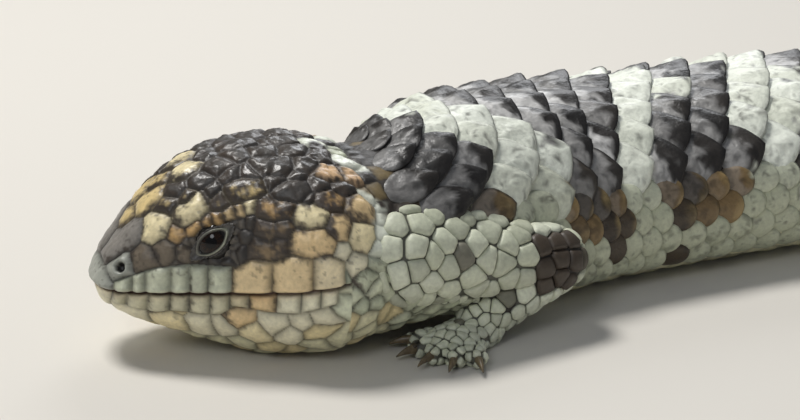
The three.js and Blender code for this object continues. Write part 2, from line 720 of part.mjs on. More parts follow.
// The head and the jaw, with the mouth between them
const LIP_OVERHANG = 0.7;
const NOSTRIL = { s: 6.4, over: 5.4, radius: 1.1 };
const EAR = { s: HEAD_LENGTH - 4.5, f: 0.52, radius: 2.2 };
const headRoom = bodyLength(0.4, HEAD_LENGTH - SCUTE_INSET, headStations, HEAD_SIDES, SCUTE_ROOM);
const jawSurface = {
  point: (s, f, grow = 0) => bodySurface.point(s, f, grow - LIP_OVERHANG),
  reach: bodySurface.reach,
};
const headForms = crownShields();
const jawForms = throatShields(jawSurface);
const hollows = [];
for (const [sideName, side] of Object.entries(SIDES)) {
  headForms.push(...browPlates(side), ...lipPlates(bodySurface, side, LIP.height / 2 + 0.4), lidRing(side));
  jawForms.push(...lipPlates(jawSurface, side, -LIP.height / 2 - 0.2));
  const nostrilShare = side * shareAtHeight(NOSTRIL.s, mouthHeight(NOSTRIL.s) + NOSTRIL.over);
  const centre = eyeCentre(side, EYE.depth);
  hollows.push(
    ball(centre, EYE.radius + JOINT_GAP, 2),
    ball(bodySurface.point(NOSTRIL.s, nostrilShare, 0.8), NOSTRIL.radius, 1),
    ball(bodySurface.point(EAR.s, side * EAR.f, 0.4), EAR.radius, 1),
  );
  nodes.set(`eye_${sideName}`, [ball(centre, EYE.radius, 2), skins.eye]);
}
const headScales = union(headForms).intersect(headRoom).subtract(limbSpace);
const jawScales = union(jawForms).trimByPlane([0, 0, 1], 0);
const skull = headPlain(0).add(headScales).subtract(jawBlock(JOINT_GAP)).subtract(union(hollows));
nodes.set("head", [skull, skins.brown]);
nodes.set("jaw", [headPlain(-LIP_OVERHANG).add(jawScales).intersect(jawBlock(0)), skins.cream]);

const group = new THREE.Group();
for (const [name, [solid, skin]] of nodes) {
  const data = largest(solid).getMesh();
  const geometry = new THREE.BufferGeometry();
  geometry.setAttribute("position", new THREE.BufferAttribute(data.vertProperties, 3));
  geometry.setIndex(new THREE.BufferAttribute(data.triVerts, 1));
  const mesh = new THREE.Mesh(geometry, new THREE.MeshStandardMaterial({ ...skin, metalness: 0 }));
  mesh.name = name;
  group.add(mesh);
}

export default group;
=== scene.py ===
"""A shingleback lying at rest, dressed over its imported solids.

Lengths in the body of the script are millimetres in the frame of the solids, and meshes are made in
metres. A place on the animal is s, the distance along the spine from the tip of the snout, and f,
the share of the way round from the middle of the back (0) down the left flank to the middle of the
belly (1), or down the right flank (to -1).
"""

import math

import bmesh
import bpy
import numpy as np
from mathutils import Matrix, Vector
from mathutils.bvhtree import BVHTree
from mathutils.kdtree import KDTree


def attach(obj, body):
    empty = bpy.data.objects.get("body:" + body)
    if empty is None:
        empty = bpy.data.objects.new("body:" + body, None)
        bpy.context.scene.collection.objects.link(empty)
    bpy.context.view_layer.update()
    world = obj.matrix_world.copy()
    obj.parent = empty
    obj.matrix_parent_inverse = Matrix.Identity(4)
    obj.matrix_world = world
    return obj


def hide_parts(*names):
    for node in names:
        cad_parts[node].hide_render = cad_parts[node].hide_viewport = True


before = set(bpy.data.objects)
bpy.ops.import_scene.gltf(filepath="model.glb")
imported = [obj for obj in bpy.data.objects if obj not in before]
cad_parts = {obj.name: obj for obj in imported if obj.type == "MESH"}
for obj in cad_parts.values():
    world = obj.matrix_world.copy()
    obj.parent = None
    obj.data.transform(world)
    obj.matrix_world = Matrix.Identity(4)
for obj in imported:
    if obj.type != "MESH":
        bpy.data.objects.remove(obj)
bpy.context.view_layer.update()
MM = 0.001
LEFT, RIGHT = 1, -1
SIDE_NAMES = {LEFT: "left", RIGHT: "right"}
FLOOR_ROOM = 0.02

# The driving dimensions, which are those of the solids
HEAD, TRUNK, TAIL = 54.0, 216.0, 66.0
TAIL_START = HEAD + TRUNK
TOTAL = TAIL_START + TAIL
HEAD_HALF, HEAD_TALL = 25.5, 39.0
TRUNK_HALF, TRUNK_TALL = 31.0, 35.5
START = (-164.55, -1.63)
FLOOR_SINK, NECK_CLEARANCE = 2.0, 4.0
MOUTH_CORNER = 0.8 * HEAD


def mix(a, b, t):
    return a + (b - a) * t


def smoothstep(low, high, x):
    """Rises smoothly from 0 at low to 1 at high, or falls where low is above high"""
    t = np.clip((x - low) / (high - low), 0, 1)
    return t * t * (3 - 2 * t)


def bell(x, middle, width):
    """1 at the middle, falling away smoothly to both sides"""
    return np.exp(-(((x - middle) / width) ** 2))


def blend(colours, other, share):
    """Colours mixed point by point with another colour"""
    return mix(colours, other, np.asarray(share)[..., None])


def smooth_curve(stations):
    """A smooth curve through (place, value) stations that never overshoots them"""
    x, y = np.array(stations, float).T
    slopes = np.diff(y) / np.diff(x)
    tangents = np.empty(len(x))
    tangents[0], tangents[-1] = slopes[0], slopes[-1]
    for i in range(1, len(x) - 1):
        a, b = slopes[i - 1], slopes[i]
        tangents[i] = 0 if a * b <= 0 else 2 / (1 / a + 1 / b)

    def curve(at):
        at = np.clip(at, x[0], x[-1])
        i = np.clip(np.searchsorted(x, at, side="left") - 1, 0, len(x) - 2)
        span = x[i + 1] - x[i]
        t = (at - x[i]) / span
        u = 1 - t
        return (
            y[i] * u * u * (1 + 2 * t)
            + y[i + 1] * t * t * (3 - 2 * t)
            + span * (tangents[i] * t * u * u - tangents[i + 1] * t * t * u)
        )

    return curve


def scaled(start, length, size, shares):
    """Stations from shares of a length and of a size"""
    return [(start + along * length, share * size) for along, share in shares]


# How the spine lies, and the half width and heights of the body along it
heading = smooth_curve([
    (0, -13), (49, -13), (66, 25), (80, 31), (98, 18), (125, 3), (160, -1), (TAIL_START, -5), (TOTAL, 12),
])
half_width = smooth_curve(
    scaled(0, HEAD, HEAD_HALF, [
        (0, 0.16), (0.03, 0.27), (0.1, 0.38), (0.2, 0.49), (0.32, 0.6), (0.42, 0.69), (0.55, 0.83),
        (0.67, 0.96), (0.77, 1), (0.86, 0.985), (0.92, 0.92), (0.98, 0.82),
    ])
    + scaled(HEAD, TRUNK, TRUNK_HALF, [
        (0.015, 0.66), (0.04, 0.65), (0.08, 0.69), (0.14, 0.81), (0.23, 0.93), (0.38, 0.99), (0.52, 1),
        (0.7, 0.93), (0.87, 0.72), (1, 0.54),
    ])
    + scaled(TAIL_START, TAIL, TRUNK_HALF, [(0.25, 0.49), (0.5, 0.46), (0.75, 0.37), (0.92, 0.23), (1, 0.08)])
)
# The skin of the snout is up to 3 mm lower than the solids', which the rest follows
back_height = smooth_curve(
    scaled(0, HEAD, HEAD_TALL, [
        (0, 0.42), (0.03, 0.485), (0.1, 0.618), (0.2, 0.785), (0.32, 0.905), (0.42, 0.96), (0.55, 1),
        (0.7, 1), (0.82, 0.97), (0.93, 0.93),
    ])
    + scaled(HEAD, TRUNK, TRUNK_TALL, [
        (0.015, 1.05), (0.04, 1.1), (0.08, 1.12), (0.14, 1.1), (0.25, 1.04), (0.4, 1), (0.55, 1),
        (0.72, 0.93), (0.88, 0.77), (1, 0.65),
    ])
    + scaled(TAIL_START, TAIL, TRUNK_TALL, [(0.25, 0.6), (0.5, 0.55), (0.75, 0.46), (0.92, 0.33), (1, 0.2)])
)
widest_height = smooth_curve([
    (0, 0.38 * HEAD_TALL), (0.3 * HEAD, 0.37 * HEAD_TALL), (0.55 * HEAD, 0.42 * HEAD_TALL),
    (0.83 * HEAD, 0.47 * HEAD_TALL), (HEAD + 12, 0.36 * TRUNK_TALL), (0.5 * TOTAL, 0.43 * TRUNK_TALL),
    (TAIL_START, 0.31 * TRUNK_TALL), (TOTAL, 0.12 * TRUNK_TALL),
])
underside_height = smooth_curve(
    scaled(0, HEAD, HEAD_TALL, [
        (0, 0.29), (0.03, 0.25), (0.1, 0.2), (0.2, 0.14), (0.32, 0.08), (0.45, 0.02), (0.58, -0.03),
        (0.78, -0.03), (0.93, 0.02),
    ])
    + [
        (HEAD + 6, NECK_CLEARANCE), (HEAD + 16, NECK_CLEARANCE), (HEAD + 36, -FLOOR_SINK),
        (TAIL_START, -FLOOR_SINK), (TOTAL - 8, -FLOOR_SINK), (TOTAL, 1.5),
    ]
)
upper_power = smooth_curve([(0, 2), (0.4 * HEAD, 2.7), (0.8 * HEAD, 2.4), (HEAD + 20, 2.1), (TOTAL, 2.1)])
lower_power = smooth_curve([(0, 2), (0.6 * HEAD, 2.3), (HEAD + 30, 2.5), (TOTAL, 2.3)])
mouth_height = smooth_curve([
    (0, 0.35 * HEAD_TALL), (0.2 * HEAD, 0.37 * HEAD_TALL), (0.5 * HEAD, 0.4 * HEAD_TALL),
    (MOUTH_CORNER, 0.46 * HEAD_TALL),
])

spine_steps = np.arange(0, TOTAL + 2, 1.0)
spine_turns = np.radians(heading(spine_steps + 0.5))
SPINE = np.vstack([START, np.array(START) + np.cumsum(np.c_[np.cos(spine_turns), np.sin(spine_turns)], 0)])


def place(s, left, height):
    """A point by its place along the spine, its distance to the animal's left and its height"""
    i = np.clip(np.floor(s).astype(int), 0, len(SPINE) - 2)
    centre = SPINE[i] + (SPINE[i + 1] - SPINE[i]) * (s - i)[..., None]
    turn = np.radians(heading(s))
    return np.stack([centre[..., 0] + np.sin(turn) * left, centre[..., 1] - np.cos(turn) * left, height], -1)


def outline(s, angle, grow):
    """The radius of a section at an angle from straight up, with the angle's sine and cosine"""
    across, up = np.sin(angle), np.cos(angle)
    middle = widest_height(s)
    tall = np.where(up > 0, back_height(s) - middle, middle - underside_height(s))
    power = np.where(up > 0, upper_power(s), lower_power(s))
    total = np.abs(across / (half_width(s) + grow)) ** power + np.abs(up / (tall + grow)) ** power
    return total ** (-1 / power), across, up, middle


# The angle from straight up for each share of the way round, tabled along the spine
TABLE_STEP, SHARES = 0.5, 256
table_s = np.arange(0, TOTAL + 0.25, TABLE_STEP)
table_angle = np.linspace(0, np.pi, 49)
radii, table_across, table_up, _ = outline(table_s[:, None], table_angle[None, :], 0)
rings = np.stack([radii * table_across, radii * table_up], -1)
arcs = np.cumsum(np.linalg.norm(np.diff(rings, axis=1), axis=2), 1)
arcs = np.concatenate([np.zeros((len(table_s), 1)), arcs], 1)
REACH = arcs[:, -1]
share_steps = np.linspace(0, 1, SHARES + 1)
ANGLES = np.stack([np.interp(share_steps * total, arc, table_angle) for total, arc in zip(REACH, arcs)])


def reach(s):
    """Half the way round the body, from the middle of the back to the middle of the belly"""
    return np.interp(s, table_s, REACH)


def angle_at(s, f):
    i = np.clip(s / TABLE_STEP, 0, len(table_s) - 1.001)
    j = np.clip(np.abs(f), 0, 1) * (SHARES - 1e-3)
    i0, j0 = np.floor(i).astype(int), np.floor(j).astype(int)
    a, b = i - i0, j - j0
    low = ANGLES[i0, j0] * (1 - b) + ANGLES[i0, j0 + 1] * b
    high = ANGLES[i0 + 1, j0] * (1 - b) + ANGLES[i0 + 1, j0 + 1] * b
    return (low * (1 - a) + high * a) * np.where(f < 0, -1, 1)


# The two ends are rounded off beyond these places
NOSE_FROM, NOSE_TIP, NOSE_SLOPE = 3.0, 0.5, 0.7
STUB_FROM, STUB_TIP = TOTAL - 2.4, TOTAL + 0.6


def body_point(s, f, grow=0.0):
    """Points on the head, trunk and tail, grown outwards, with round ends"""
    s, f, grow = np.broadcast_arrays(*(np.asarray(x, float) for x in (s, f, grow)))
    held = np.where(s < NOSE_FROM, mix(NOSE_FROM, s, NOSE_SLOPE), np.minimum(s, STUB_FROM))
    radius, across, up, middle = outline(held, angle_at(held, f), grow)
    nose = np.clip((NOSE_FROM - s) / (NOSE_FROM - NOSE_TIP), 0, 1)
    stub = np.clip((s - STUB_FROM) / (STUB_TIP - STUB_FROM), 0, 1)
    shrink = np.sqrt(np.maximum(1 - (nose + stub) ** 2, 0))
    core = mix(middle, (back_height(held) + underside_height(held)) / 2, np.minimum(nose + stub, 1))
    beyond = s - held
    turn = np.radians(heading(held))
    point = place(held, radius * across * shrink, np.maximum(core + radius * up * shrink, 0))
    point[..., 0] += np.cos(turn) * beyond
    point[..., 1] += np.sin(turn) * beyond
    return point


def share_at_height(s, height):
    """The share of the way round at which the body's surface is at a height"""
    high, low = np.zeros_like(s), np.ones_like(s)
    for _ in range(24):
        middle = (high + low) / 2
        above = body_point(s, middle)[..., 2] > height
        high, low = np.where(above, middle, high), np.where(above, low, middle)
    return (high + low) / 2


def chance(*keys):
    """A repeatable random number from 0 to 1 for each set of keys"""
    weights = (12.9898, 78.233, 37.719, 9.151)
    total = sum(np.asarray(key, float) * weight for key, weight in zip(keys, weights))
    wave = np.sin(total + 4.1414) * 43758.5453
    return wave - np.floor(wave)


def lattice_value(cell, seed):
    """A repeatable random number from 0 to 1 for each cell of a lattice"""
    wrap = np.uint64(0xFFFFFFFF)
    x, y, z = np.moveaxis(cell, -1, 0)
    n = x * np.uint64(374761393) + y * np.uint64(668265263) + z * np.uint64(2246822519)
    n = (n + np.uint64(seed * 3266489917)) & wrap
    n = ((n ^ (n >> np.uint64(13))) * np.uint64(1274126177)) & wrap
    n = n ^ (n >> np.uint64(16))
    return (n & np.uint64(0xFFFFFF)).astype(float) / 0xFFFFFF


def noise(points, size, seed=0):
    """Smooth noise from -1 to 1, with blobs of about the given size"""
    q = np.asarray(points, float) / size + 4096.5
    cell = np.floor(q)
    share = smoothstep(0, 1, q - cell)
    value = 0.0
    for corner in np.ndindex(2, 2, 2):
        x, y, z = np.moveaxis(np.where(corner, share, 1 - share), -1, 0)
        value = value + x * y * z * lattice_value((cell + corner).astype(np.uint64), seed)
    return 2 * value - 1


def colour(text):
    """A linear colour from its screen value"""
    value = np.array([int(text[i : i + 2], 16) for i in (0, 2, 4)]) / 255
    return np.where(value <= 0.04045, value / 12.92, ((value + 0.055) / 1.055) ** 2.4)


BLACK, CHARCOAL, SLATE = colour("1d1b1a"), colour("34302c"), colour("5e5b57")
BROWN, OCHRE, SAND = colour("4a3d2e"), colour("9a7e50"), colour("c4ab74")
CREAM, PALE, WHITE = colour("d6cba2"), colour("c3c6ad"), colour("e8ece0")
SHEEN_GREY, GREY_GREEN = colour("dddcda"), colour("9fa58e")
# CREVICE_SHADE is painted shade for grooves, creases, scute walls and undersides, and where the lids meet the
# ball
LIP_RED_AND_SHADE, CREVICE_SHADE = colour("3a1c17"), colour("171310")


# Meshes
def in_scene(name, data):
    """An object with the given data, linked to the scene"""
    piece = bpy.data.objects.new(name, data)
    bpy.context.scene.collection.objects.link(piece)
    return piece


def new_mesh(name, points, faces, uv, material, colours=None, gloss=None):
    """A mesh object from millimetre points, with its colours by point and its unwrap by face corner"""
    mesh = bpy.data.meshes.new(name)
    faces = np.asarray(faces)
    mesh.vertices.add(len(points))
    mesh.vertices.foreach_set("co", (points * MM).astype(np.float32).ravel())
    mesh.loops.add(faces.size)
    mesh.loops.foreach_set("vertex_index", faces.astype(np.int32).ravel())
    mesh.polygons.add(len(faces))
    mesh.polygons.foreach_set("loop_start", np.arange(0, faces.size, faces.shape[1], dtype=np.int32))
    mesh.polygons.foreach_set("use_smooth", np.full(len(faces), True))
    mesh.update(calc_edges=True)
    if colours is not None:
        data = np.concatenate([np.clip(colours, 0, 1), np.ones((len(points), 1))], 1)
        tint = mesh.attributes.new("tint", "FLOAT_COLOR", "POINT")
        tint.data.foreach_set("color", data.astype(np.float32).ravel())
        shine = mesh.attributes.new("gloss", "FLOAT", "POINT")
        shine.data.foreach_set("value", np.broadcast_to(gloss, len(points)).astype(np.float32))
    layer = mesh.uv_layers.new(name="OFBake")
    layer.data.foreach_set("uv", uv[faces.ravel()].astype(np.float32).ravel())
    mesh.validate()
    mesh.materials.append(material)
    return in_scene(name, mesh)


def ring_quads(rings, sides):
    """Quads between closed rings of points that follow one another"""
    index = np.arange(rings * sides).reshape(rings, sides)
    beside = np.roll(index, -1, axis=1)
    return np.stack([index[:-1], beside[:-1], beside[1:], index[1:]], -1).reshape(-1, 4)


def normals_of(points, faces):
    """Outward directions at the points of a mesh of quads or triangles"""
    a, b, c = points[faces[:, 0]], points[faces[:, 1]], points[faces[:, -1]]
    facing = np.cross(b - a, c - a)
    total = np.zeros_like(points)
    for k in range(faces.shape[1]):
        np.add.at(total, faces[:, k], facing)
    return total / np.maximum(np.linalg.norm(total, axis=1, keepdims=True), 1e-9)


def axes_along(direction):
    """The unit vector of a direction, with one across it and one square to both"""
    axis = direction / np.linalg.norm(direction)
    across = np.cross([0, 0, 1.0] if abs(axis[2]) < 0.9 else [1.0, 0, 0], axis)
    across /= np.linalg.norm(across)
    return axis, across, np.cross(axis, across)


def tree_of(points):
    """A tree that finds the nearest of some points"""
    tree = KDTree(len(points))
    for i, point in enumerate(points.tolist()):
        tree.insert(point, i)
    tree.balance()
    return tree


# Materials
def material(name):
    """A new material, its node tree and its main shader"""
    made = bpy.data.materials.new(name)
    made.use_nodes = True
    return made, made.node_tree, made.node_tree.nodes["Principled BSDF"]


def set_socket(tree, socket, value):
    """Gives a socket a constant, or links another node's output to it"""
    if isinstance(value, bpy.types.NodeSocket):
        tree.links.new(value, socket)
    else:
        socket.default_value = value


def feed(tree, node, **inputs):
    """Sets a node's inputs by name, with _ for a space"""
    for name, value in inputs.items():
        set_socket(tree, node.inputs[name.replace("_", " ")], value)


def add_node(tree, kind, **inputs):
    """A new node with its inputs set"""
    node = tree.nodes.new("ShaderNode" + kind)
    feed(tree, node, **inputs)
    return node


def attribute(tree, name, output):
    """What the mesh says of itself under a name"""
    node = add_node(tree, "Attribute")
    node.attribute_name = name
    return node.outputs[output]


def multiplied(tree, colour_a, colour_b, factor):
    """One colour multiplied by another"""
    node = tree.nodes.new("ShaderNodeMix")
    node.data_type = "RGBA"
    node.blend_type = "MULTIPLY"
    feed(tree, node, Factor=factor, A=colour_a, B=colour_b)
    return node.outputs["Result"]


def multiply_add(tree, value, factor, plus):
    """A node that multiplies a value and adds to it"""
    node = tree.nodes.new("ShaderNodeMath")
    node.operation = "MULTIPLY_ADD"
    for socket, given in zip(node.inputs, (value, factor, plus)):
        set_socket(tree, socket, given)
    return node


PIT_SIZE, GRAIN_DEEP, PIT_DEEP = 0.55, 0.25, 0.15


def scaly(name, fine, coarse, strength, rough, spread):
    """Paint from the mesh, with fine mottling, uneven gloss and a rough grain"""
    made, tree, shader = material(name)
    here = add_node(tree, "TexCoord").outputs["Object"]
    grain = add_node(tree, "TexNoise", Vector=here, Scale=1 / (fine * MM), Detail=4).outputs["Fac"]
    broad = add_node(tree, "TexNoise", Vector=here, Scale=1 / (coarse * MM), Detail=3).outputs["Fac"]
    pits = add_node(tree, "TexVoronoi", Vector=here, Scale=1 / (PIT_SIZE * MM)).outputs["Distance"]
    shade = add_node(tree, "MapRange", Value=grain, From_Min=0.25, From_Max=0.75, To_Min=0.86, To_Max=1.12)
    dull = multiply_add(tree, attribute(tree, "gloss", "Fac"), -spread, rough)
    uneven = multiply_add(tree, broad, 0.16, dull.outputs["Value"])
    uneven.use_clamp = True
    first = add_node(tree, "Bump", Strength=strength, Distance=GRAIN_DEEP * MM, Height=grain)
    second = add_node(tree, "Bump", Strength=strength * 0.5, Distance=PIT_DEEP * MM, Height=pits)
    feed(tree, second, Normal=first.outputs["Normal"])
    feed(
        tree, shader,
        Base_Color=multiplied(tree, attribute(tree, "tint", "Color"), shade.outputs["Result"], 1.0),
        Roughness=uneven.outputs["Value"],
        Normal=second.outputs["Normal"],
    )
    return made


def wet_eye():
    """A dark, wet ball with a soft shine"""
    made, tree, shader = material("wet_eye")
    fleck = add_node(tree, "TexNoise", Scale=1 / (0.4 * MM)).outputs["Color"]
    feed(
        tree, shader, Base_Color=multiplied(tree, attribute(tree, "tint", "Color"), fleck, 0.4),
        Roughness=0.12, Specular_IOR_Level=0.12, Coat_Weight=0.35, Coat_Roughness=0.02,
    )
    return made


def horn():
    """Streaked horn for the claws"""
    made, tree, shader = material("horn_claws")
    here = add_node(tree, "TexCoord").outputs["Object"]
    streaks = add_node(tree, "TexNoise", Vector=here, Scale=1 / (0.9 * MM))
    ramp = add_node(tree, "ValToRGB", Fac=streaks.outputs["Fac"])
    for element, tone in zip(ramp.color_ramp.elements, ("2c241c", "8a7a5e")):
        element.color = (*colour(tone), 1)
    feed(tree, shader, Base_Color=ramp.outputs["Color"], Roughness=0.32)
    return made


skin_material = scaly("scaly_skin", 0.8, 5, 0.3, 0.52, 0.26)
scute_material = scaly("horny_scutes", 0.9, 6, 0.45, 0.52, 0.24)
leg_material = scaly("leg_scales", 0.8, 5, 0.25, 0.52, 0.18)
eye_material, claw_material = wet_eye(), horn()

# The limbs: each joint by its place along the spine, distance from it, height and radius
LIMBS = {
    "foreleg": {
        LEFT: dict(root=(54, 16, 20, 8.5), bend=(75, 26.5, 14, 6.2), end=(63, 20, 5, 4.4), heading=176),
        RIGHT: dict(root=(66, 13, 16, 8.5), bend=(84, 30, 11, 6.2), end=(76, 42, 5.2, 4.4), heading=128),
        "foot": dict(length=9, half=4.6, height=3, spread=(-46, -22, 0, 22, 48), toe=(4.5, 5.5, 6, 5.5, 4)),
    },
    "hindleg": {
        LEFT: dict(root=(244, 12, 13, 9.5), bend=(229, 34, 10, 6.8), end=(246, 43, 5.4, 4.6), heading=40),
        RIGHT: dict(root=(246, 12, 13, 9.5), bend=(236, 35, 10, 6.8), end=(256, 40, 5.4, 4.6), heading=28),
        "foot": dict(length=11, half=4.8, height=3, spread=(-48, -24, -4, 16, 44), toe=(4, 6, 7, 6.5, 5)),
    },
}
TOE_RADIUS, CLAW = 1.9, 3.6


def joint(values, side):
    """A limb's joint as a point"""
    s, left, height = (np.array(float(v)) for v in values[:3])
    return place(s, side * left, height)


def limb_frame(kind, side):
    """A limb's joints, radii, and the place and way of each toe"""
    limb, foot = LIMBS[kind][side], LIMBS[kind]["foot"]
    root, bend, end = (joint(limb[k], side) for k in ("root", "bend", "end"))
    forwards = math.radians(float(heading(limb["end"][0])) - side * limb["heading"])

    def way(degrees):
        at = forwards - side * math.radians(degrees)
        return np.array([math.cos(at), math.sin(at), 0])

    heel = np.array([end[0], end[1], foot["height"] - 0.4])
    toes = []
    for degrees, length in zip(foot["spread"], foot["toe"]):
        start = heel + way(degrees * 0.55) * (foot["length"] + 0.5)
        start[2] = TOE_RADIUS
        toes.append((start, way(degrees), length))
    return dict(
        root=root, bend=bend, end=end, radii=[limb[k][3] for k in ("root", "bend", "end")], heel=heel,
        knuckles=heel + way(0) * foot["length"], half=foot["half"], toes=toes, forwards=way(0),
    )


FRAMES = {(kind, side): limb_frame(kind, side) for kind in LIMBS for side in (LEFT, RIGHT)}


def capsule_distance(points, a, b, ra, rb):
    """The distance outside a tapered capsule"""
    axis = b - a
    t = np.clip(((points - a) @ axis) / (axis @ axis), 0, 1)
    return np.linalg.norm(points - a - t[:, None] * axis, axis=1) - mix(ra, rb, t)


def limb_distance(points, limb):
    """The distance outside a limb's two lengths"""
    ra, rb, rc = limb["radii"]
    upper = capsule_distance(points, limb["root"], limb["bend"], ra, rb)
    lower = capsule_distance(points, limb["bend"], limb["end"], rb, rc)
    return np.minimum(upper, lower)


# The body's skin as a grid of places, finest on the head
COLUMNS = 440
HEAD_STEP = 0.3
nose_rows = NOSE_FROM + (NOSE_TIP - NOSE_FROM) * np.sin(np.linspace(1.56, 0.12, 16))
head_rows = np.arange(NOSE_FROM, HEAD + 10, HEAD_STEP)
trunk_rows = np.arange(head_rows[-1] + 0.8, STUB_FROM, 1.2)
stub_rows = STUB_FROM + (STUB_TIP - STUB_FROM) * np.sin(np.linspace(0.12, 1.56, 10))
grid_s = np.concatenate([nose_rows, head_rows, trunk_rows, stub_rows])
even_f = np.arange(COLUMNS) * 2 / COLUMNS - 1
S, F = np.meshgrid(grid_s, even_f, indexing="ij")

# One column of the grid runs along the line of the mouth
LINE_COLUMN = 0.55
line_table_s = np.arange(NOSE_FROM, MOUTH_CORNER + 0.5, 0.5)
line_table_f = share_at_height(line_table_s, mouth_height(line_table_s))
lined = np.interp(S, line_table_s, line_table_f)
lined = mix(lined, LINE_COLUMN, smoothstep(MOUTH_CORNER + 1, MOUTH_CORNER + 14, S))
stretched = np.where(
    np.abs(F) < LINE_COLUMN, np.abs(F) * lined / LINE_COLUMN,
    1 - (1 - np.abs(F)) * (1 - lined) / (1 - LINE_COLUMN),
)
F = np.sign(F) * stretched
rows, columns = S.shape
skin_s, skin_f = S.ravel(), F.ravel()
quads = ring_quads(rows, columns)
base = body_point(skin_s, skin_f)
skin_normal = normals_of(base, quads)

# The swell of the skin where a limb leaves the body
BLEND = 3.6


def blended(distance):
    """The swell where two surfaces meet, by the distance between them"""
    return np.maximum(BLEND - np.abs(distance), 0) ** 2 / (4 * BLEND)


def off_floor(points):
    """From 0 near the floor to 1 well above it"""
    return smoothstep(0.5, 4, points[:, 2])


def swell_at(points):
    """How far the body's surface swells near the limbs"""
    most = np.max([blended(limb_distance(points, limb)) for limb in FRAMES.values()], axis=0)
    return most * off_floor(points)


# The pale bands: where each lies, how much further back it is at the middle of the back, half its length
BANDS = [
    (75, -4, 7.5), (115, 19, 6.5), (150, 18, 7.5), (188, 14, 6.5),
    (223, 12, 7), (256, 8, 6), (286, 6, 6), (314, 4, 5),
]
CREST = 0.22


def paleness(s, f):
    """How pale the pattern is at a place, from 0 in the dark bands to 1 in the pale ones"""
    value = np.zeros(np.broadcast(s, f).shape)
    for k, (centre, further, half) in enumerate(BANDS):
        off = np.abs(s - centre - further * bell(f, 0, CREST) - 2.2 * np.sin(7 * f + 2.1 * k))
        value = np.maximum(value, smoothstep(half + 2.2, half - 1.2, off))
    return value


def is_pale(s, f, luck):
    """Whether a whole scale is one of a pale band: 1 or 0"""
    return float(paleness(np.array(s), np.array(f)) > 0.3 + 0.4 * luck)


def down_flank(f):
    """How far a place is down the flank, and how far on to its lowest scales, each from 0 to 1"""
    return float(smoothstep(0.36, 0.46, abs(f))), float(smoothstep(0.5, 0.56, abs(f)))


def hide_sides(f, luck):
    """The dark and the pale colour that a scale on the trunk or tail may have"""
    low, lowest = down_flank(f)
    tone = (luck * 7.3) % 1
    brown = mix(BROWN, OCHRE, 0.1 + 0.6 * tone)
    dark = mix(mix(BLACK, CHARCOAL, tone), brown, low * (0.35 + 0.6 * (tone > 0.3)))
    dark = mix(dark, mix(GREY_GREEN, PALE, 0.4 + 0.4 * tone), lowest * (tone > 0.25))
    light = mix(mix(WHITE, PALE, 0.4 * tone), mix(PALE, GREY_GREEN, 0.3), low)
    return dark, light


def hide_paint(s, f, luck):
    """The main colour of a scale on the trunk or tail"""
    return mix(*hide_sides(f, luck), is_pale(s, f, luck))


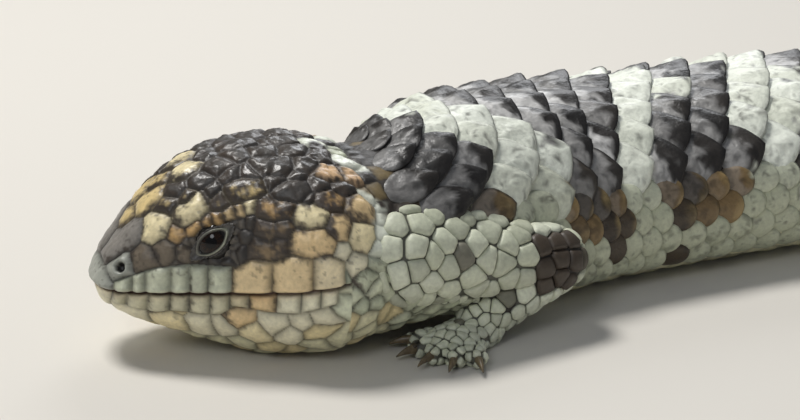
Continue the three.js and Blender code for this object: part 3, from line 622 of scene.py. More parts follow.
# The plates of the head: tone, how much of it shows over the ground, half the size, and one place or more
TONES = {
    "steel": colour("8d8f86"), "lead": colour("75716b"), "mud": colour("675d4f"),
    "cream": colour("d4c7a0"), "straw": colour("c2ad7c"), "ochre": colour("b09060"),
    "sand": colour("c7ae83"), "bone": colour("cbc5ab"), "orange": colour("bb9c78"),
    "black": colour("3b3835"), "umber": colour("78664c"), "pale": colour("bdbfa6"),
}
HEAD_PLATES = [
    ("steel", 0.95, 2.4, (0.7, 0.3), (0.7, -0.3), (1.0, 0.42), (1.0, -0.42), (1.4, 0.52), (1.4, -0.52)),
    ("steel", 0.85, 2.4, (4.4, 0.37)), ("lead", 0.8, 3.3, (4.0, 0.14), (6.6, 0.175)),
    ("mud", 0.78, 2.5, (8.6, 0.385)), ("mud", 0.72, 2.4, (12.0, 0.392)),
    ("mud", 0.68, 1.8, (15.1, 0.418)), ("mud", 0.6, 1.2, (17.6, 0.447)),
    ("cream", 0.74, 3.0, (10.6, 0.265)), ("cream", 0.7, 2.7, (16.0, 0.266), (17.8, 0.26)),
    ("straw", 0.42, 2.6, (13.2, 0.185)), ("straw", 0.66, 2.7, (9.8, 0.08), (11.4, 0.09)),
    ("straw", 0.6, 2.1, (7.2, 0.045), (7.2, -0.045)), ("straw", 0.55, 2.5, (13.2, 0.0)),
    ("cream", 0.62, 3.0, (16.8, 0.07), (18.6, 0.055)), ("straw", 0.45, 2.8, (25.2, 0.24), (27.2, 0.234)),
    ("straw", 0.4, 2.1, (22.0, 0.262)), ("straw", 0.3, 1.7, (19.2, 0.243)),
    ("straw", 0.3, 2.0, (16.4, 0.208)), ("ochre", 0.6, 1.8, (14.2, 0.335)),
    ("ochre", 0.62, 1.6, (17.0, 0.324)), ("ochre", 0.6, 1.3, (19.4, 0.316)),
    ("ochre", 0.62, 1.3, (21.3, 0.312)), ("sand", 0.64, 1.3, (23.2, 0.309)),
    ("sand", 0.66, 1.3, (25.0, 0.304)), ("cream", 0.74, 1.5, (27.0, 0.298)),
    ("ochre", 0.5, 2.8, (30.0, 0.308), (32.2, 0.306)), ("umber", 0.5, 2.5, (29.2, 0.362), (32.4, 0.36)),
    ("umber", 0.55, 2.6, (28.2, 0.42), (31.6, 0.416)), ("cream", 0.67, 3.0, (36.2, 0.333), (38.2, 0.33)),
    ("sand", 0.6, 3.2, (42.2, 0.36)), ("sand", 0.78, 3.7, (35.6, 0.405), (38.0, 0.405)),
    ("ochre", 0.48, 2.8, (40.6, 0.288), (42.4, 0.288)), ("sand", 0.6, 3.3, (46.6, 0.298)),
    ("cream", 0.86, 3.1, (46.2, 0.38)), ("bone", 1.0, 2.4, (41.9, 0.424)),
    ("bone", 1.0, 2.1, (44.8, 0.447)), ("orange", 0.62, 2.7, (41.6, 0.19), (43.6, 0.19)),
    ("orange", 0.66, 2.7, (46.6, 0.185)), ("bone", 0.95, 2.6, (1.2, 0.7), (1.2, 0.98), (1.2, -0.7)),
    ("bone", 0.95, 3.4, (6.0, 0.77), (7.6, 0.79)), ("cream", 0.88, 3.6, (12.0, 0.75), (13.6, 0.76)),
    ("bone", 0.95, 3.2, (18.2, 0.725)), ("sand", 0.78, 3.0, (24.6, 0.64)),
    ("bone", 0.95, 2.9, (30.4, 0.635)), ("bone", 0.95, 2.5, (22.0, 0.70)),
    ("cream", 0.88, 2.7, (27.6, 0.69)), ("bone", 0.95, 2.3, (35.4, 0.61)),
    ("bone", 0.95, 2.4, (33.2, 0.668)), ("bone", 1.0, 2.2, (38.6, 0.595)),
]
DARK_PLATES = [
    (2.7, (14.8, 0.14)), (1.7, (20.8, 0.218)), (3.0, (22.8, 0.107)), (2.5, (19.3, 0.158)),
    (2.7, (26.4, 0.073)), (2.3, (28.2, 0.19)), (2.0, (24.8, 0.188)), (3.2, (31.5, 0.16), (33.5, 0.168)),
    (3.1, (32.0, 0.07)), (3.1, (37.4, 0.075)), (2.8, (33.6, 0.26), (36.0, 0.25)), (2.1, (32.2, 0.218)),
    (2.8, (38.5, 0.165)), (2.2, (36.4, 0.207)), (2.5, (21.0, 0.03)), (3.0, (27.6, 0.0), (29.6, 0.0)),
    (3.4, (35.4, 0.0), (37.2, 0.0)), (3.0, (42.6, 0.0)), (2.8, (42.4, 0.105)), (1.4, (26.9, 0.345)),
    (1.2, (25.6, 0.385)), (1.2, (25.0, 0.432)), (1.9, (37.8, 0.278)), (2.4, (39.8, 0.238)),
    (2.6, (44.2, 0.245)), (2.6, (46.8, 0.11)), (1.0, (18.2, 0.458)), (1.0, (20.4, 0.458)),
    (1.0, (22.6, 0.46)),
]
HEAD_PLATES += [("black", 0.6, *plate) for plate in DARK_PLATES]

# The ends of the lip plates along the mouth, and the top of the upper row and the foot of the lower
UPPER_EDGES = [3.2, 6.2, 8.5, 12.8, 16.0, 19.2, 23.2, 30.0, 37.0, 42.8]
UPPER_TOPS = smooth_curve([
    *zip(UPPER_EDGES, (0.45, 0.45, 0.45, 0.457, 0.463, 0.47, 0.474, 0.452, 0.44, 0.443)),
])
LOWER_EDGES = [2.4, 5.2, 8.8, 12.5, 15.8, 19.5, 22.8, 26.0, 30.6, 34.8, 38.4, 41.8]
LOWER_FOOT = smooth_curve([
    (2, 0.7), (8.5, 0.7), (14, 0.668), (17.5, 0.662), (21.2, 0.648), (24, 0.61), (28.2, 0.606), (33.5, 0.594),
    (37.2, 0.58), (40, 0.568), (43, 0.55),
])


class Seeds:
    """Places that the skin's plates and scales grow round"""

    def __init__(self):
        self.place, self.rows, self.plates = [], [], 0

    def plate(self, places, size, rise, paint, share, gloss):
        for s, f in places:
            self.place.append((float(s), float(f)))
            self.rows.append([self.plates, size, rise, share, gloss, *paint, s])
        self.plates += 1

    def points(self):
        return body_point(*np.array(self.place).T)


EYE_S, EYE_F = 0.373 * HEAD, 0.391
EYE_RADIUS, EYE_DEPTH = 4.1, 3.1
EYE_TILT = math.radians(33)
APERTURE = (2.3, 1.3)
BEADS_FROM, BEADS_TO = 1.62, 3.6
seeds = Seeds()
for side in (LEFT, RIGHT):
    for tone, share, size, *places in HEAD_PLATES:
        if side == LEFT or (places[0][1] > 0 and places[-1][1] > 0):
            s, f = places[0]
            glossy = 1.0 if f < 0.26 else 0.8 if f < 0.5 else 0.5
            rise = 0.35 if s < 13 or f > 0.55 else 0.55
            seeds.plate([(s, side * f) for s, f in places], size, rise, TONES[tone], share, glossy)


def eye_offsets(s, f, side):
    """Distances from the middle of an eye, back along its tilt and up across it"""
    back = s - EYE_S
    up = (EYE_F - side * f) * reach(s)
    return (
        back * math.cos(EYE_TILT) + up * math.sin(EYE_TILT),
        up * math.cos(EYE_TILT) - back * math.sin(EYE_TILT),
    )


def near_eye(s, f):
    across, up = eye_offsets(s, f, 1 if f > 0 else -1)
    return math.hypot(across / APERTURE[0], up / APERTURE[1])


def fill(first, last, low, high, size, rise, paint, share, gloss, keep):
    """Scales on an offset lattice wherever keep allows, clear of the plates that are there already"""
    step = 2 * size
    row_step, jitter = 0.87 * step, 0.35 * step
    taken, taken_size = seeds.points(), np.array(seeds.rows)[:, 1]
    for row in range(int((last - first) / row_step) + 1):
        s = first + row * row_step
        around = float(reach(s))
        half = int(around / step) + 1
        for column in range(-half, half + 1):
            f = (column + 0.5 * (row % 2)) * step / around
            s_here = s + (chance(row, column, 1) - 0.5) * jitter
            f += (chance(row, column, 2) - 0.5) * jitter / around
            if not low <= abs(f) <= high or not keep(s_here, f):
                continue
            room = np.linalg.norm(taken - body_point(s_here, f), axis=1) - 0.85 * taken_size
            if room.min() < 0.8 * size:
                continue
            tone = paint(s_here, f, chance(row, column, 3)) if callable(paint) else paint
            seeds.plate([(s_here, f)], size, rise, tone, share, gloss)


def throat_paint(s, f, luck):
    return mix(mix(CREAM, PALE, 0.5), SAND, 0.5 * (luck > 0.6))


def neck_paint(s, f, luck):
    high = float(smoothstep(0.39, 0.34, abs(f)) * smoothstep(HEAD - 6.8, HEAD - 5.2, s))
    nape = mix(mix(BLACK, CHARCOAL, luck), BROWN, float(smoothstep(0.24, 0.32, abs(f))) * luck)
    nape = mix(nape, SAND, 0.25 * (luck < 0.12))
    return mix(mix(GREY_GREEN, PALE, 0.2 + 0.6 * luck), nape, high)


def belly_paint(s, f, luck):
    return mix(mix(CREAM, PALE, 0.6), BROWN, 0.35 * (luck > 0.8))


def between_paint(s, f, luck):
    if abs(f) < 0.3:
        return TONES["black"]
    return mix(TONES["umber"], TONES["sand"], luck) if s < 44 else neck_paint(s, f, luck)


def always(s, f):
    return True


# The scales that fill the gaps, from the beads round the eye to the hide under the scutes
between = mix(SLATE, TONES["mud"], 0.5)
fill(12, 29, 0.2, 0.47, 0.75, 0.4, between, 0.95, 0.7, lambda s, f: BEADS_FROM < near_eye(s, f) < BEADS_TO)
fill(14, 49, 0, 0.5, 1.9, 0.45, between_paint, 0.75, 0.9, lambda s, f: near_eye(s, f) > BEADS_TO)
fill(6, HEAD + 2, 0.6, 1, 2.4, 0.3, throat_paint, 0.95, 0.5, always)
fill(42, HEAD + 26, 0.24, 0.75, 1.35, 0.5, neck_paint, 0.9, 0.4, always)
fill(47, HEAD + 8, 0, 0.24, 1.7, 0.4, neck_paint, 0.9, 0.7, always)
fill(HEAD + 3, TOTAL - 4, 0.6, 1, 3.1, 0.35, belly_paint, 0.95, 0.5, always)
fill(HEAD + 5, TOTAL - 4, 0, 0.6, 3.4, 0, hide_paint, 0.9, 0.3, always)


def grain(size, seed):
    """Noise over the body's skin"""
    return noise(base, size, seed)


# The pattern of cells over the skin: the plate that each point is on, and how far it is inside its edge
NEAR = 12
seed_points, seed_rows = seeds.points(), np.array(seeds.rows)
tree = tree_of(seed_points)
wander = np.stack([0.36 * grain(3.0, 11 + k) + 0.12 * grain(1.2, 21 + k) for k in range(3)], -1)
found = np.array([[hit[1:] for hit in tree.find_n(query, NEAR)] for query in (base + wander).tolist()])
nearest = found[..., 0].astype(int)
power = found[..., 1] ** 2 - seed_rows[nearest, 1] ** 2

# No plate of the head crosses the line of the mouth
around = reach(np.clip(skin_s, NOSE_FROM, STUB_FROM))
lip_s = np.clip(skin_s, 0.5, MOUTH_CORNER)
line_f = np.interp(lip_s, line_table_s, line_table_f)
place_s, place_f = np.array(seeds.place).T
low_seed = (np.abs(place_f) > np.interp(place_s, line_table_s, line_table_f)) & (place_s < MOUTH_CORNER)
low_point = np.where(skin_s < NOSE_FROM, base[:, 2] < mouth_height(lip_s), np.abs(skin_f) > line_f)
across_line = (low_seed[nearest] != low_point[:, None]) & (skin_s < MOUTH_CORNER + 1)[:, None]
power = np.where(across_line, 1e6, power)
order = np.argsort(power, axis=1)
nearest = np.take_along_axis(nearest, order, 1)
power = np.take_along_axis(power, order, 1)
apart = np.linalg.norm(seed_points[nearest[:, 1:]] - seed_points[nearest[:, :1]], axis=2)
gap_to = (power[:, 1:] - power[:, :1]) / (2 * np.maximum(apart, 0.1))
gap_to = np.where(seed_rows[nearest[:, 1:], 0] == seed_rows[nearest[:, :1], 0], 99, gap_to)
own = seed_rows[nearest[:, 0]]
cell = dict(
    edge=gap_to.min(1), size=own[:, 1], rise=own[:, 2], share=own[:, 3], gloss=own[:, 4], tone=own[:, 5:8],
    forward=(skin_s - own[:, 8]) / np.maximum(own[:, 1], 0.5),
)

# The two rows of lip plates, over and under the line of the mouth
wave = 0.25 * grain(2.2, 25)
over_line = (line_f - np.abs(skin_f)) * around + 0.4 * wave


def lip_row(edges, height, tall, paints, shares, upper):
    """Lays a row of lip plates over the pattern of cells"""
    edges = np.array(edges)
    which = np.clip(np.searchsorted(edges, skin_s) - 1, 0, len(edges) - 2)
    from_ends = np.minimum(skin_s - edges[which], edges[which + 1] - skin_s) + wave * 0.5
    within = np.clip((skin_s - edges[which]) / (edges[which + 1] - edges[which]), 0, 1)
    peak = 0.9 * (1 - np.abs(2 * within - 1)) * smoothstep(21, 27, skin_s) if upper else 0
    top_gap = tall + peak - height
    past_row = np.maximum(np.maximum(edges[0] - skin_s, skin_s - edges[-1]), 0)
    inside = (height > -0.2) & (top_gap > 0) & (skin_s > edges[0]) & (skin_s < edges[-1])
    cut_back = np.minimum(cell["edge"], np.hypot(np.maximum(-top_gap, 0), past_row))
    cell["edge"] = np.where((height > -0.2) & ~inside, cut_back, cell["edge"])
    laid = dict(
        edge=np.minimum(np.minimum(from_ends, top_gap), np.maximum(height, 0) + 0.5),
        size=2.4, rise=0.48 + 0.42 * (1 - (2 * within - 1) ** 2), share=np.array(shares)[which], gloss=0.85,
        forward=(within - 0.5) * 1.4,
    )
    for key, value in laid.items():
        cell[key] = np.where(inside, value, cell[key])
    cell["tone"] = np.where(inside[:, None], np.array(paints)[which], cell["tone"])


front_lip, rear_lip = colour("b5b8a2"), colour("cdb78e")
upper_paints = [front_lip] * 6 + [rear_lip] * 2 + [mix(rear_lip, TONES["bone"], 0.5)]
lower_paints = [mix(front_lip, TONES["sand"], 0.25)] * 6 + [mix(front_lip, rear_lip, 0.5), TONES["sand"]]
lower_paints += [colour("cfcbb2")] * 3
upper_shares = [0.9, 0.95, 0.95, 0.95, 0.9, 0.85, 0.76, 0.78, 0.92]
lower_shares = [0.85] * 6 + [0.8, 0.85] + [0.95] * 3
lip_row(UPPER_EDGES, over_line, (line_f - UPPER_TOPS(lip_s)) * around, upper_paints, upper_shares, True)
lip_row(LOWER_EDGES, -over_line, (LOWER_FOOT(lip_s) - line_f) * around, lower_paints, lower_shares, False)
edge, tone, share, forward = (cell[key] for key in ("edge", "tone", "share", "forward"))

# The height of the skin over its base: plates and scales with grooves between them
GROOVE, ROOM_UNDER_PLATES = 0.34, 0.5
profile = 1 - np.exp(-np.maximum(edge, 0) / GROOVE)
tilt = 0.32 * forward * smoothstep(24, 34, skin_s)
rise = cell["rise"] * profile * (1 + np.clip(tilt, -0.3, 0.3))
rise += 0.13 * np.clip(edge, 0, 2.4) * (cell["rise"] > 0)
on_head = 1 - smoothstep(HEAD - 6, HEAD + 2, skin_s)
rugose = smoothstep(13, 20, skin_s) * on_head * smoothstep(0.36, 0.27, np.abs(skin_f))
radial = np.abs(grain(2.6, 5)) + 0.35 * np.abs(grain(1.1, 6))
rise += rugose * profile * (0.28 - 0.55 * radial)
rise += (0.07 * grain(1.3, 7) + 0.05 * grain(0.65, 17)) * profile * on_head
rise -= ROOM_UNDER_PLATES * on_head
rise *= 1 - 0.85 * smoothstep(49.5, 52, skin_s) * smoothstep(0.43, 0.38, np.abs(skin_f))

# Paint: each plate's own tone over a dark ground, more of it towards the rear of the plate
ground = blend(colour("352f29"), colour("4a4038"), 0.5 + 0.5 * grain(4, 26))
mottling = 0.46 * grain(1.7, 8) + 0.36 * grain(0.85, 9) + 0.34 * grain(0.42, 10)
core = np.clip(edge / np.maximum(cell["size"], 0.6), 0, 0.8) - 0.35
weight = 1.9 * (share - 0.6) + 0.3 * np.clip(forward, -1, 1) + 0.95 * core * (share < 0.93) + 0.7 * mottling
shown = smoothstep(-0.36, 0.34, weight)
shown = np.where(share > 0.93, np.maximum(shown, 0.82), shown)
paint = blend(ground, tone, shown)
# Painted shade in the grooves between the plates
rim = np.exp(-np.clip(edge, 0, 9) / 0.25)
paint = blend(paint, mix(CREVICE_SHADE, tone * 0.3, 0.4), rim * np.where(np.abs(skin_f) > 0.46, 0.85, 0.9))
bright = 1 + 0.3 * smoothstep(0.2, 1.6, edge) * shown * (1 + 0.5 * grain(2.5, 27))
paint = paint * np.clip(bright, 0.8, 1.45)[:, None]
specks = smoothstep(0.5, 0.72, grain(0.55, 46) + 0.45 * grain(2.4, 47)) * on_head * (np.abs(skin_f) < 0.5)
paint = blend(paint, ground, 0.45 * specks)

# The mouth: a dark seam, partly the lips' own red and partly painted shade, with a lip that stands out over
# it, skin that falls back under it and a painted shadow beneath
SEAM, SHADE_UNDER = 0.36, 1.1
off_line = base[:, 2] - mouth_height(np.clip(skin_s, 0, MOUTH_CORNER))
before_corner = smoothstep(MOUTH_CORNER + 2, MOUTH_CORNER - 0.5, skin_s)
seam = bell(off_line, 0, SEAM) * before_corner
below = smoothstep(0.2, -0.4, off_line) * smoothstep(-7, -2, off_line) * before_corner
rise += 0.3 * bell(off_line, 1, 0.7) * before_corner - 1.1 * seam - 0.6 * below
# The seam is the lips' red with painted shade in the slit
paint = blend(paint, LIP_RED_AND_SHADE, np.clip(1.4 * seam, 0, 1))
shadow = bell(off_line, 0, SHADE_UNDER) * (off_line < 0) * before_corner
paint = blend(paint, paint * [0.75, 0.6, 0.5], 0.5 * shadow)
gloss = mix(cell["gloss"] * profile, 0.6, seam)

# The sockets, brows, nostrils and ear openings
NOSTRIL_S, NOSTRIL_F, NOSTRIL = 4.5, 0.367, 1.15
EAR_S, EAR_F, EAR_LONG, EAR_TALL = 51.6, 0.47, 0.8, 2.2
BROW_UP, FAR = 3.4, 9
for side in (LEFT, RIGHT):
    this_side = side * skin_f > 0.02
    across, up = eye_offsets(skin_s, skin_f, side)
    from_eye = np.where(this_side, np.hypot(across / APERTURE[0], up / APERTURE[1]), FAR)
    socket = smoothstep(1.66, 1.5, from_eye)
    rise = mix(rise, -0.9, socket) - 2.6 * smoothstep(1.15, 0.9, from_eye)
    rise -= 0.35 * smoothstep(3.8, 2.2, from_eye) * (from_eye >= 1.6)
    brow = bell(up, BROW_UP - 0.03 * across**2, 1) * smoothstep(7.5, 4, np.abs(across))
    rise += 0.6 * brow * this_side
    paint = blend(paint, mix(SLATE, CHARCOAL, 0.5), socket * 0.8)

    from_nostril = np.linalg.norm(base - body_point(NOSTRIL_S, side * NOSTRIL_F), axis=1)
    rise += 0.35 * bell(from_nostril, NOSTRIL + 0.3, 0.4) - 1.4 * smoothstep(NOSTRIL, 0.5, from_nostril)
    # Painted shade inside the nostril
    paint = blend(paint, BLACK, smoothstep(1.2, 0.8, from_nostril))

    from_ear = np.hypot((skin_s - EAR_S) / EAR_LONG, (EAR_F - side * skin_f) * around / EAR_TALL)
    from_ear = np.where(this_side, from_ear, FAR)
    rise += 0.4 * bell(from_ear, 1.35, 0.3) - 1.8 * smoothstep(1, 0.4, from_ear)
    # Painted shade inside the ear opening
    paint = blend(paint, BLACK, smoothstep(0.95, 0.6, from_ear))

# Folds of loose skin behind the jowls, with painted shade in their creases
FOLD_FROM, FOLD_APART = 49.5, 4.1
fold_zone = smoothstep(48, 53, skin_s) * smoothstep(74, 62, skin_s) * smoothstep(0.2, 0.34, np.abs(skin_f))
folds = np.abs(np.sin((skin_s - FOLD_FROM) / FOLD_APART * np.pi + 2.2 * np.abs(skin_f) + 0.8 * grain(9, 41)))
rise += fold_zone * (0.7 * folds - 0.45)
# Painted shade in the creases of the folds
paint = blend(paint, CREVICE_SHADE, fold_zone * 0.55 * smoothstep(0.35, 0.05, folds))

# A pale streak across the nape and down behind the jowls, which partly follows the cells
STREAK_S, STREAK_FORWARDS = 49.6, 7.2


def streak_gap(s, f):
    """How far a place is from the middle of the streak"""
    return np.abs(s - STREAK_S - 0.8 * np.abs(f) + STREAK_FORWARDS * bell(f, 0, 0.1))


cell_gap = streak_gap(place_s[nearest[:, 0]], place_f[nearest[:, 0]])
streak_half = 1.35 + 0.9 * grain(5, 43)
from_streak = mix(streak_gap(skin_s, skin_f), cell_gap, 0.6) + 0.5 * grain(1.2, 44)
streak = smoothstep(streak_half + 0.4, streak_half - 0.4, from_streak)
streak *= smoothstep(0.46, 0.4, np.abs(skin_f)) * smoothstep(-0.5, -0.2, grain(6, 45))
paint = blend(paint, mix(WHITE, PALE, 0.3) * 1.05, streak * (1 - 0.5 * rim))

lift = rise * smoothstep(0.02, 1.2, base[:, 2]) + swell_at(base)
skin_points = base + skin_normal * lift[:, None]
skin_points[:, 2] = np.maximum(skin_points[:, 2], 0)


UV_EDGE = 0.01


def body_uv(s, f):
    """Where a place on the body lies in its unwrap"""
    along = (np.asarray(s, float) - NOSE_TIP) / (STUB_TIP - NOSE_TIP)
    return UV_EDGE + (1 - 2 * UV_EDGE) * np.stack([along, (np.asarray(f, float) + 1) / 2], -1)


skin = new_mesh("skin", skin_points, quads, body_uv(skin_s, skin_f), skin_material, paint, gloss)


def close_ends(piece):
    """Caps the two small openings at the ends of the skin"""
    shape = bmesh.new()
    shape.from_mesh(piece.data)
    shape.verts.ensure_lookup_table()
    layer = shape.loops.layers.uv["OFBake"]
    for ring in (range(columns - 1, -1, -1), range((rows - 1) * columns, rows * columns)):
        face = shape.faces.new([shape.verts[i] for i in ring])
        face.smooth = True
        for corner in face.loops:
            corner[layer].uv = body_uv(skin_s[corner.vert.index], skin_f[corner.vert.index]).tolist()
    bmesh.ops.triangulate(shape, faces=[face for face in shape.faces if len(face.verts) > 4])
    shape.to_mesh(piece.data)
    shape.free()


close_ends(skin)
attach(skin, "root")
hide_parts("head", "jaw", "neck", "torso_front", "torso_rear", "tail")

# The shape of one scute: rings of points round a middle, with a wall and an underside
SCUTE_RINGS, SCUTE_SIDES = 9, 28
WALL_OUT, UNDER_OUT = 1.1, 1.2
ring_share = np.linspace(0, 1, SCUTE_RINGS + 1)[1:]
ring_share = (ring_share + np.sin(ring_share * np.pi / 2)) / 2
ring_turn = np.arange(SCUTE_SIDES) * 2 * np.pi / SCUTE_SIDES
RING_OUT = np.concatenate([
    [0], np.repeat(ring_share, SCUTE_SIDES), np.full(SCUTE_SIDES, WALL_OUT), [UNDER_OUT],
])
UNDERNEATH = RING_OUT > 1.05


def template_faces():
    """Triangles of one scute: the top, the wall and the underside"""
    triangles = []
    for i in range(SCUTE_SIDES):
        j = (i + 1) % SCUTE_SIDES
        triangles.append((0, 1 + i, 1 + j))
        for ring in range(SCUTE_RINGS):
            a, b = 1 + ring * SCUTE_SIDES, 1 + (ring + 1) * SCUTE_SIDES
            triangles += [(a + i, b + i, b + j), (a + i, b + j, a + j)]
        last = 1 + SCUTE_RINGS * SCUTE_SIDES
        triangles.append((last + SCUTE_SIDES, last + j, last + i))
    return np.array(triangles)


SCUTE_FACES = template_faces()


def outlined(radii):
    """Places in one scute, back and aside, from the radius of its outline each way"""
    return [
        np.concatenate([[0], (ring_share[:, None] * edge_at).ravel(), edge_at * 0.93, [0]])
        for edge_at in (radii * np.cos(ring_turn), radii * np.sin(ring_turn))
    ]


def template(power):
    """Places in one scute, from -1 to 1 back and aside, with a blunt point behind if power is low"""
    cos, sin = np.cos(ring_turn), np.sin(ring_turn)
    radii = (np.abs(cos) ** power + np.abs(sin) ** power) ** (-1 / power)
    return outlined(radii * (1 + 0.07 * (power < 2) * np.maximum(cos, 0) ** 24))


def scute_heights(back, aside, rear, front, keel, thick, dome, soft):
    """Heights over the skin for one scute: low in front, raised behind, with a keel and a thick rim"""
    top = front + (rear - front) * ((back + 1) / 2) ** 1.2
    crown = dome * rear * (1 - RING_OUT**2.4) - soft * rear * smoothstep(0.78, 1, RING_OUT)
    ridge = keel * bell(aside, 0, 0.22) * smoothstep(-0.6, 0.7, back)
    return np.where(UNDERNEATH, np.minimum(top - thick, -0.35), top + crown + ridge)


class Coat:
    """Scutes gathered for one mesh"""

    def __init__(self):
        self.scutes = []

    def add(self, points, colours, gloss, uv):
        self.scutes.append((points, colours, gloss, uv))

    def made(self, name, material):
        starts = np.arange(len(self.scutes)) * len(RING_OUT)
        faces = (SCUTE_FACES[None] + starts[:, None, None]).reshape(-1, 3)
        points, colours, gloss, uv = (np.concatenate(part) for part in zip(*self.scutes))
        return new_mesh(name, points, faces, uv, material, colours, gloss)


def scute_paint(s, f, here_s, here_f, flat, back, key):
    """Colours and gloss over one scute"""
    luck = chance(key, 5)
    low, lowest = down_flank(f)
    whole = is_pale(s, f, luck)
    patchy = noise(flat, 3.4, 65) * 0.3 + noise(flat, 1.5, 66) * 0.22
    paler = 0.66 * whole + 0.34 * paleness(here_s, here_f) + patchy - 0.14 * back * (1 - low)
    pale = smoothstep(0.42, 0.58, paler)

    # Dark scutes have a painted pale sheen in front on the back, and sandy tips on the flank that are partly
    # their own colour and partly a painted highlight
    dark, light = hide_sides(f, luck)
    # A painted sheen, pale in front on the dark scutes of the back
    frosty_sheen = smoothstep(0.46, 0.2, back + 1.1 * patchy) * (1 - low) * (0.3 + 0.7 * chance(key, 8))
    frosty_sheen *= mix(0.3, 1, smoothstep(58, 70, s))
    dark = blend(dark, mix(SLATE, SHEEN_GREY, 0.5 + 0.5 * chance(key, 12)), 0.9 * frosty_sheen)
    # Sandy rear tips on the flank, partly the scales' own colour and partly a painted highlight
    tip = smoothstep(0.3, 0.85, back + 0.9 * patchy) * low * (1 - lowest)
    dark = blend(dark, mix(dark, SAND, 0.5), tip * (0.4 + 0.5 * chance(key, 9)))
    colours = blend(dark, light, pale)

    # Pale scutes have grey specks and fine dark veins, and dark ones darker clouds
    speck = 0.5 + 0.5 * noise(flat, 1.3, 63) + 0.3 * noise(flat, 0.6, 64)
    colours = blend(colours, mix(SLATE, CHARCOAL, 0.4), pale * 0.65 * smoothstep(0.66, 1, speck))
    veins = np.abs(noise(flat + 50, 1.9, 67)) + 0.4 * np.abs(noise(flat, 0.8, 68))
    colours = blend(colours, colours * 0.62, pale * smoothstep(0.2, 0.02, veins))
    colours = blend(colours, colours * 0.45, (1 - pale) * smoothstep(0.5, 0.2, speck) * 0.8)

    # Painted shade at the raised rim, on the wall and under each scute
    rim = smoothstep(0.84, 1, RING_OUT) * smoothstep(-0.4, 0.4, back)
    rim_shade_tone = mix(CREVICE_SHADE, light * 0.4, 0.5 * whole + 0.3 * lowest * (1 - whole))
    colours = blend(colours, rim_shade_tone, rim * mix(0.85, 0.35, max(whole, lowest)))
    return blend(colours, CREVICE_SHADE, 0.8 * UNDERNEATH), 0.8 - 0.2 * pale - 0.25 * rim


# The outline, roughness, dome and softness of the rim of the two kinds of scute
BACK_STYLE, FLANK_STYLE = (1.6, 0.55, 0.12, 0.12), (2.1, 0.12, 0.45, 0.45)
SCUTE_THICK = 1.1


def body_scute(s, f, length, width, rear, front, keel, key, style):
    """One scute on the body's surface, with its points, colours, gloss and unwrap"""
    power, rough, dome, soft = style
    back, aside = template(power)
    here_s = s + back * length
    here_f = f + aside * width / reach(s)
    flat = body_point(here_s, here_f)
    height = scute_heights(back, aside, rear, front, keel, SCUTE_THICK, dome, soft)
    pits = noise(flat + key * 17, 1.7, 61) * 0.5 + noise(flat + key * 17, 0.8, 62) * 0.35
    height += np.where(UNDERNEATH, 0, rough * pits * (1 - 0.5 * RING_OUT**4))
    height += (chance(key, 11) - 0.5) * 0.5 * aside * smoothstep(-1, 0.5, back) + swell_at(flat)
    points = body_point(here_s, here_f, height)
    points[:, 2] = np.maximum(points[:, 2], FLOOR_ROOM)
    patch = np.array([0.678 * length / TOTAL, 0.232 * width / reach(s)])
    uv = body_uv(s, f) + np.stack([back, aside], -1) * patch * np.where(UNDERNEATH, 0.98, 1)[:, None]
    return points, *scute_paint(s, f, here_s, here_f, flat, back, key), uv


# The rows of scutes. Those of the back grow smaller towards the head and the end of the tail.
LIMB_ROOM, ROW_SPAN = 0.2, 0.42
RIGHT_OUTER_ROW, RIGHT_OUTER_FROM = -4, HEAD + 16
SCUTE_PITCH, SCUTE_ROW = 10.8, 7.0
FLANK_PITCH, FLANK_ROW, FLANK_ROWS = 6.9, 5.0, 6
coat_rows = smooth_curve([
    (HEAD - 4, 0.45), (HEAD + 6, 0.62), (HEAD + 16, 0.82), (HEAD + 28, 1), (TAIL_START, 1),
    (TOTAL - 20, 0.86), (TOTAL, 0.6),
])
phase_s = np.arange(HEAD - 4, TOTAL + 1, 0.25)
phase = np.cumsum(0.25 / (SCUTE_PITCH * coat_rows(phase_s)))


def near_limb(s, f):
    """Whether a place on the body is on a limb or against it"""
    point = body_point(s, f)[None]
    return min(float(limb_distance(point, limb)[0]) for limb in FRAMES.values()) < LIMB_ROOM


def back_rows():
    """The large scutes of the back, whose outer rows on the right begin behind the neck"""
    coat = Coat()
    for row in range(-8, 9):
        for count in np.arange(math.ceil(phase[0]) + 0.5 * (row % 2), phase[-1], 1.0):
            s = float(np.interp(count, phase, phase_s))
            size = float(coat_rows(s))
            f = row * SCUTE_ROW * size / float(reach(s))
            key = row * 53.7 + count * 7.31
            s += (chance(key, 1) - 0.5) * 0.9 * size
            if abs(f) > ROW_SPAN or not HEAD - 3.5 < s < TOTAL - 3 or near_limb(s, f):
                continue
            if s < HEAD + 10 and abs(f) > mix(0.3, ROW_SPAN, max(s - HEAD + 3, 0) / 9):
                continue
            if row <= RIGHT_OUTER_ROW and s < RIGHT_OUTER_FROM:
                continue
            length = 0.62 * SCUTE_PITCH * size * (0.95 + 0.12 * chance(key, 2))
            width = 0.98 * SCUTE_ROW * size * (0.94 + 0.12 * chance(key, 3))
            rear = (2.3 + 0.9 * chance(key, 4)) * mix(0.65, 1, smoothstep(0.5, 1, size))
            front = mix(-0.25, -0.5, smoothstep(60, 72, s))
            coat.add(*body_scute(s, f, length, width, rear, front, 0.45 * size, key, BACK_STYLE))
    return coat


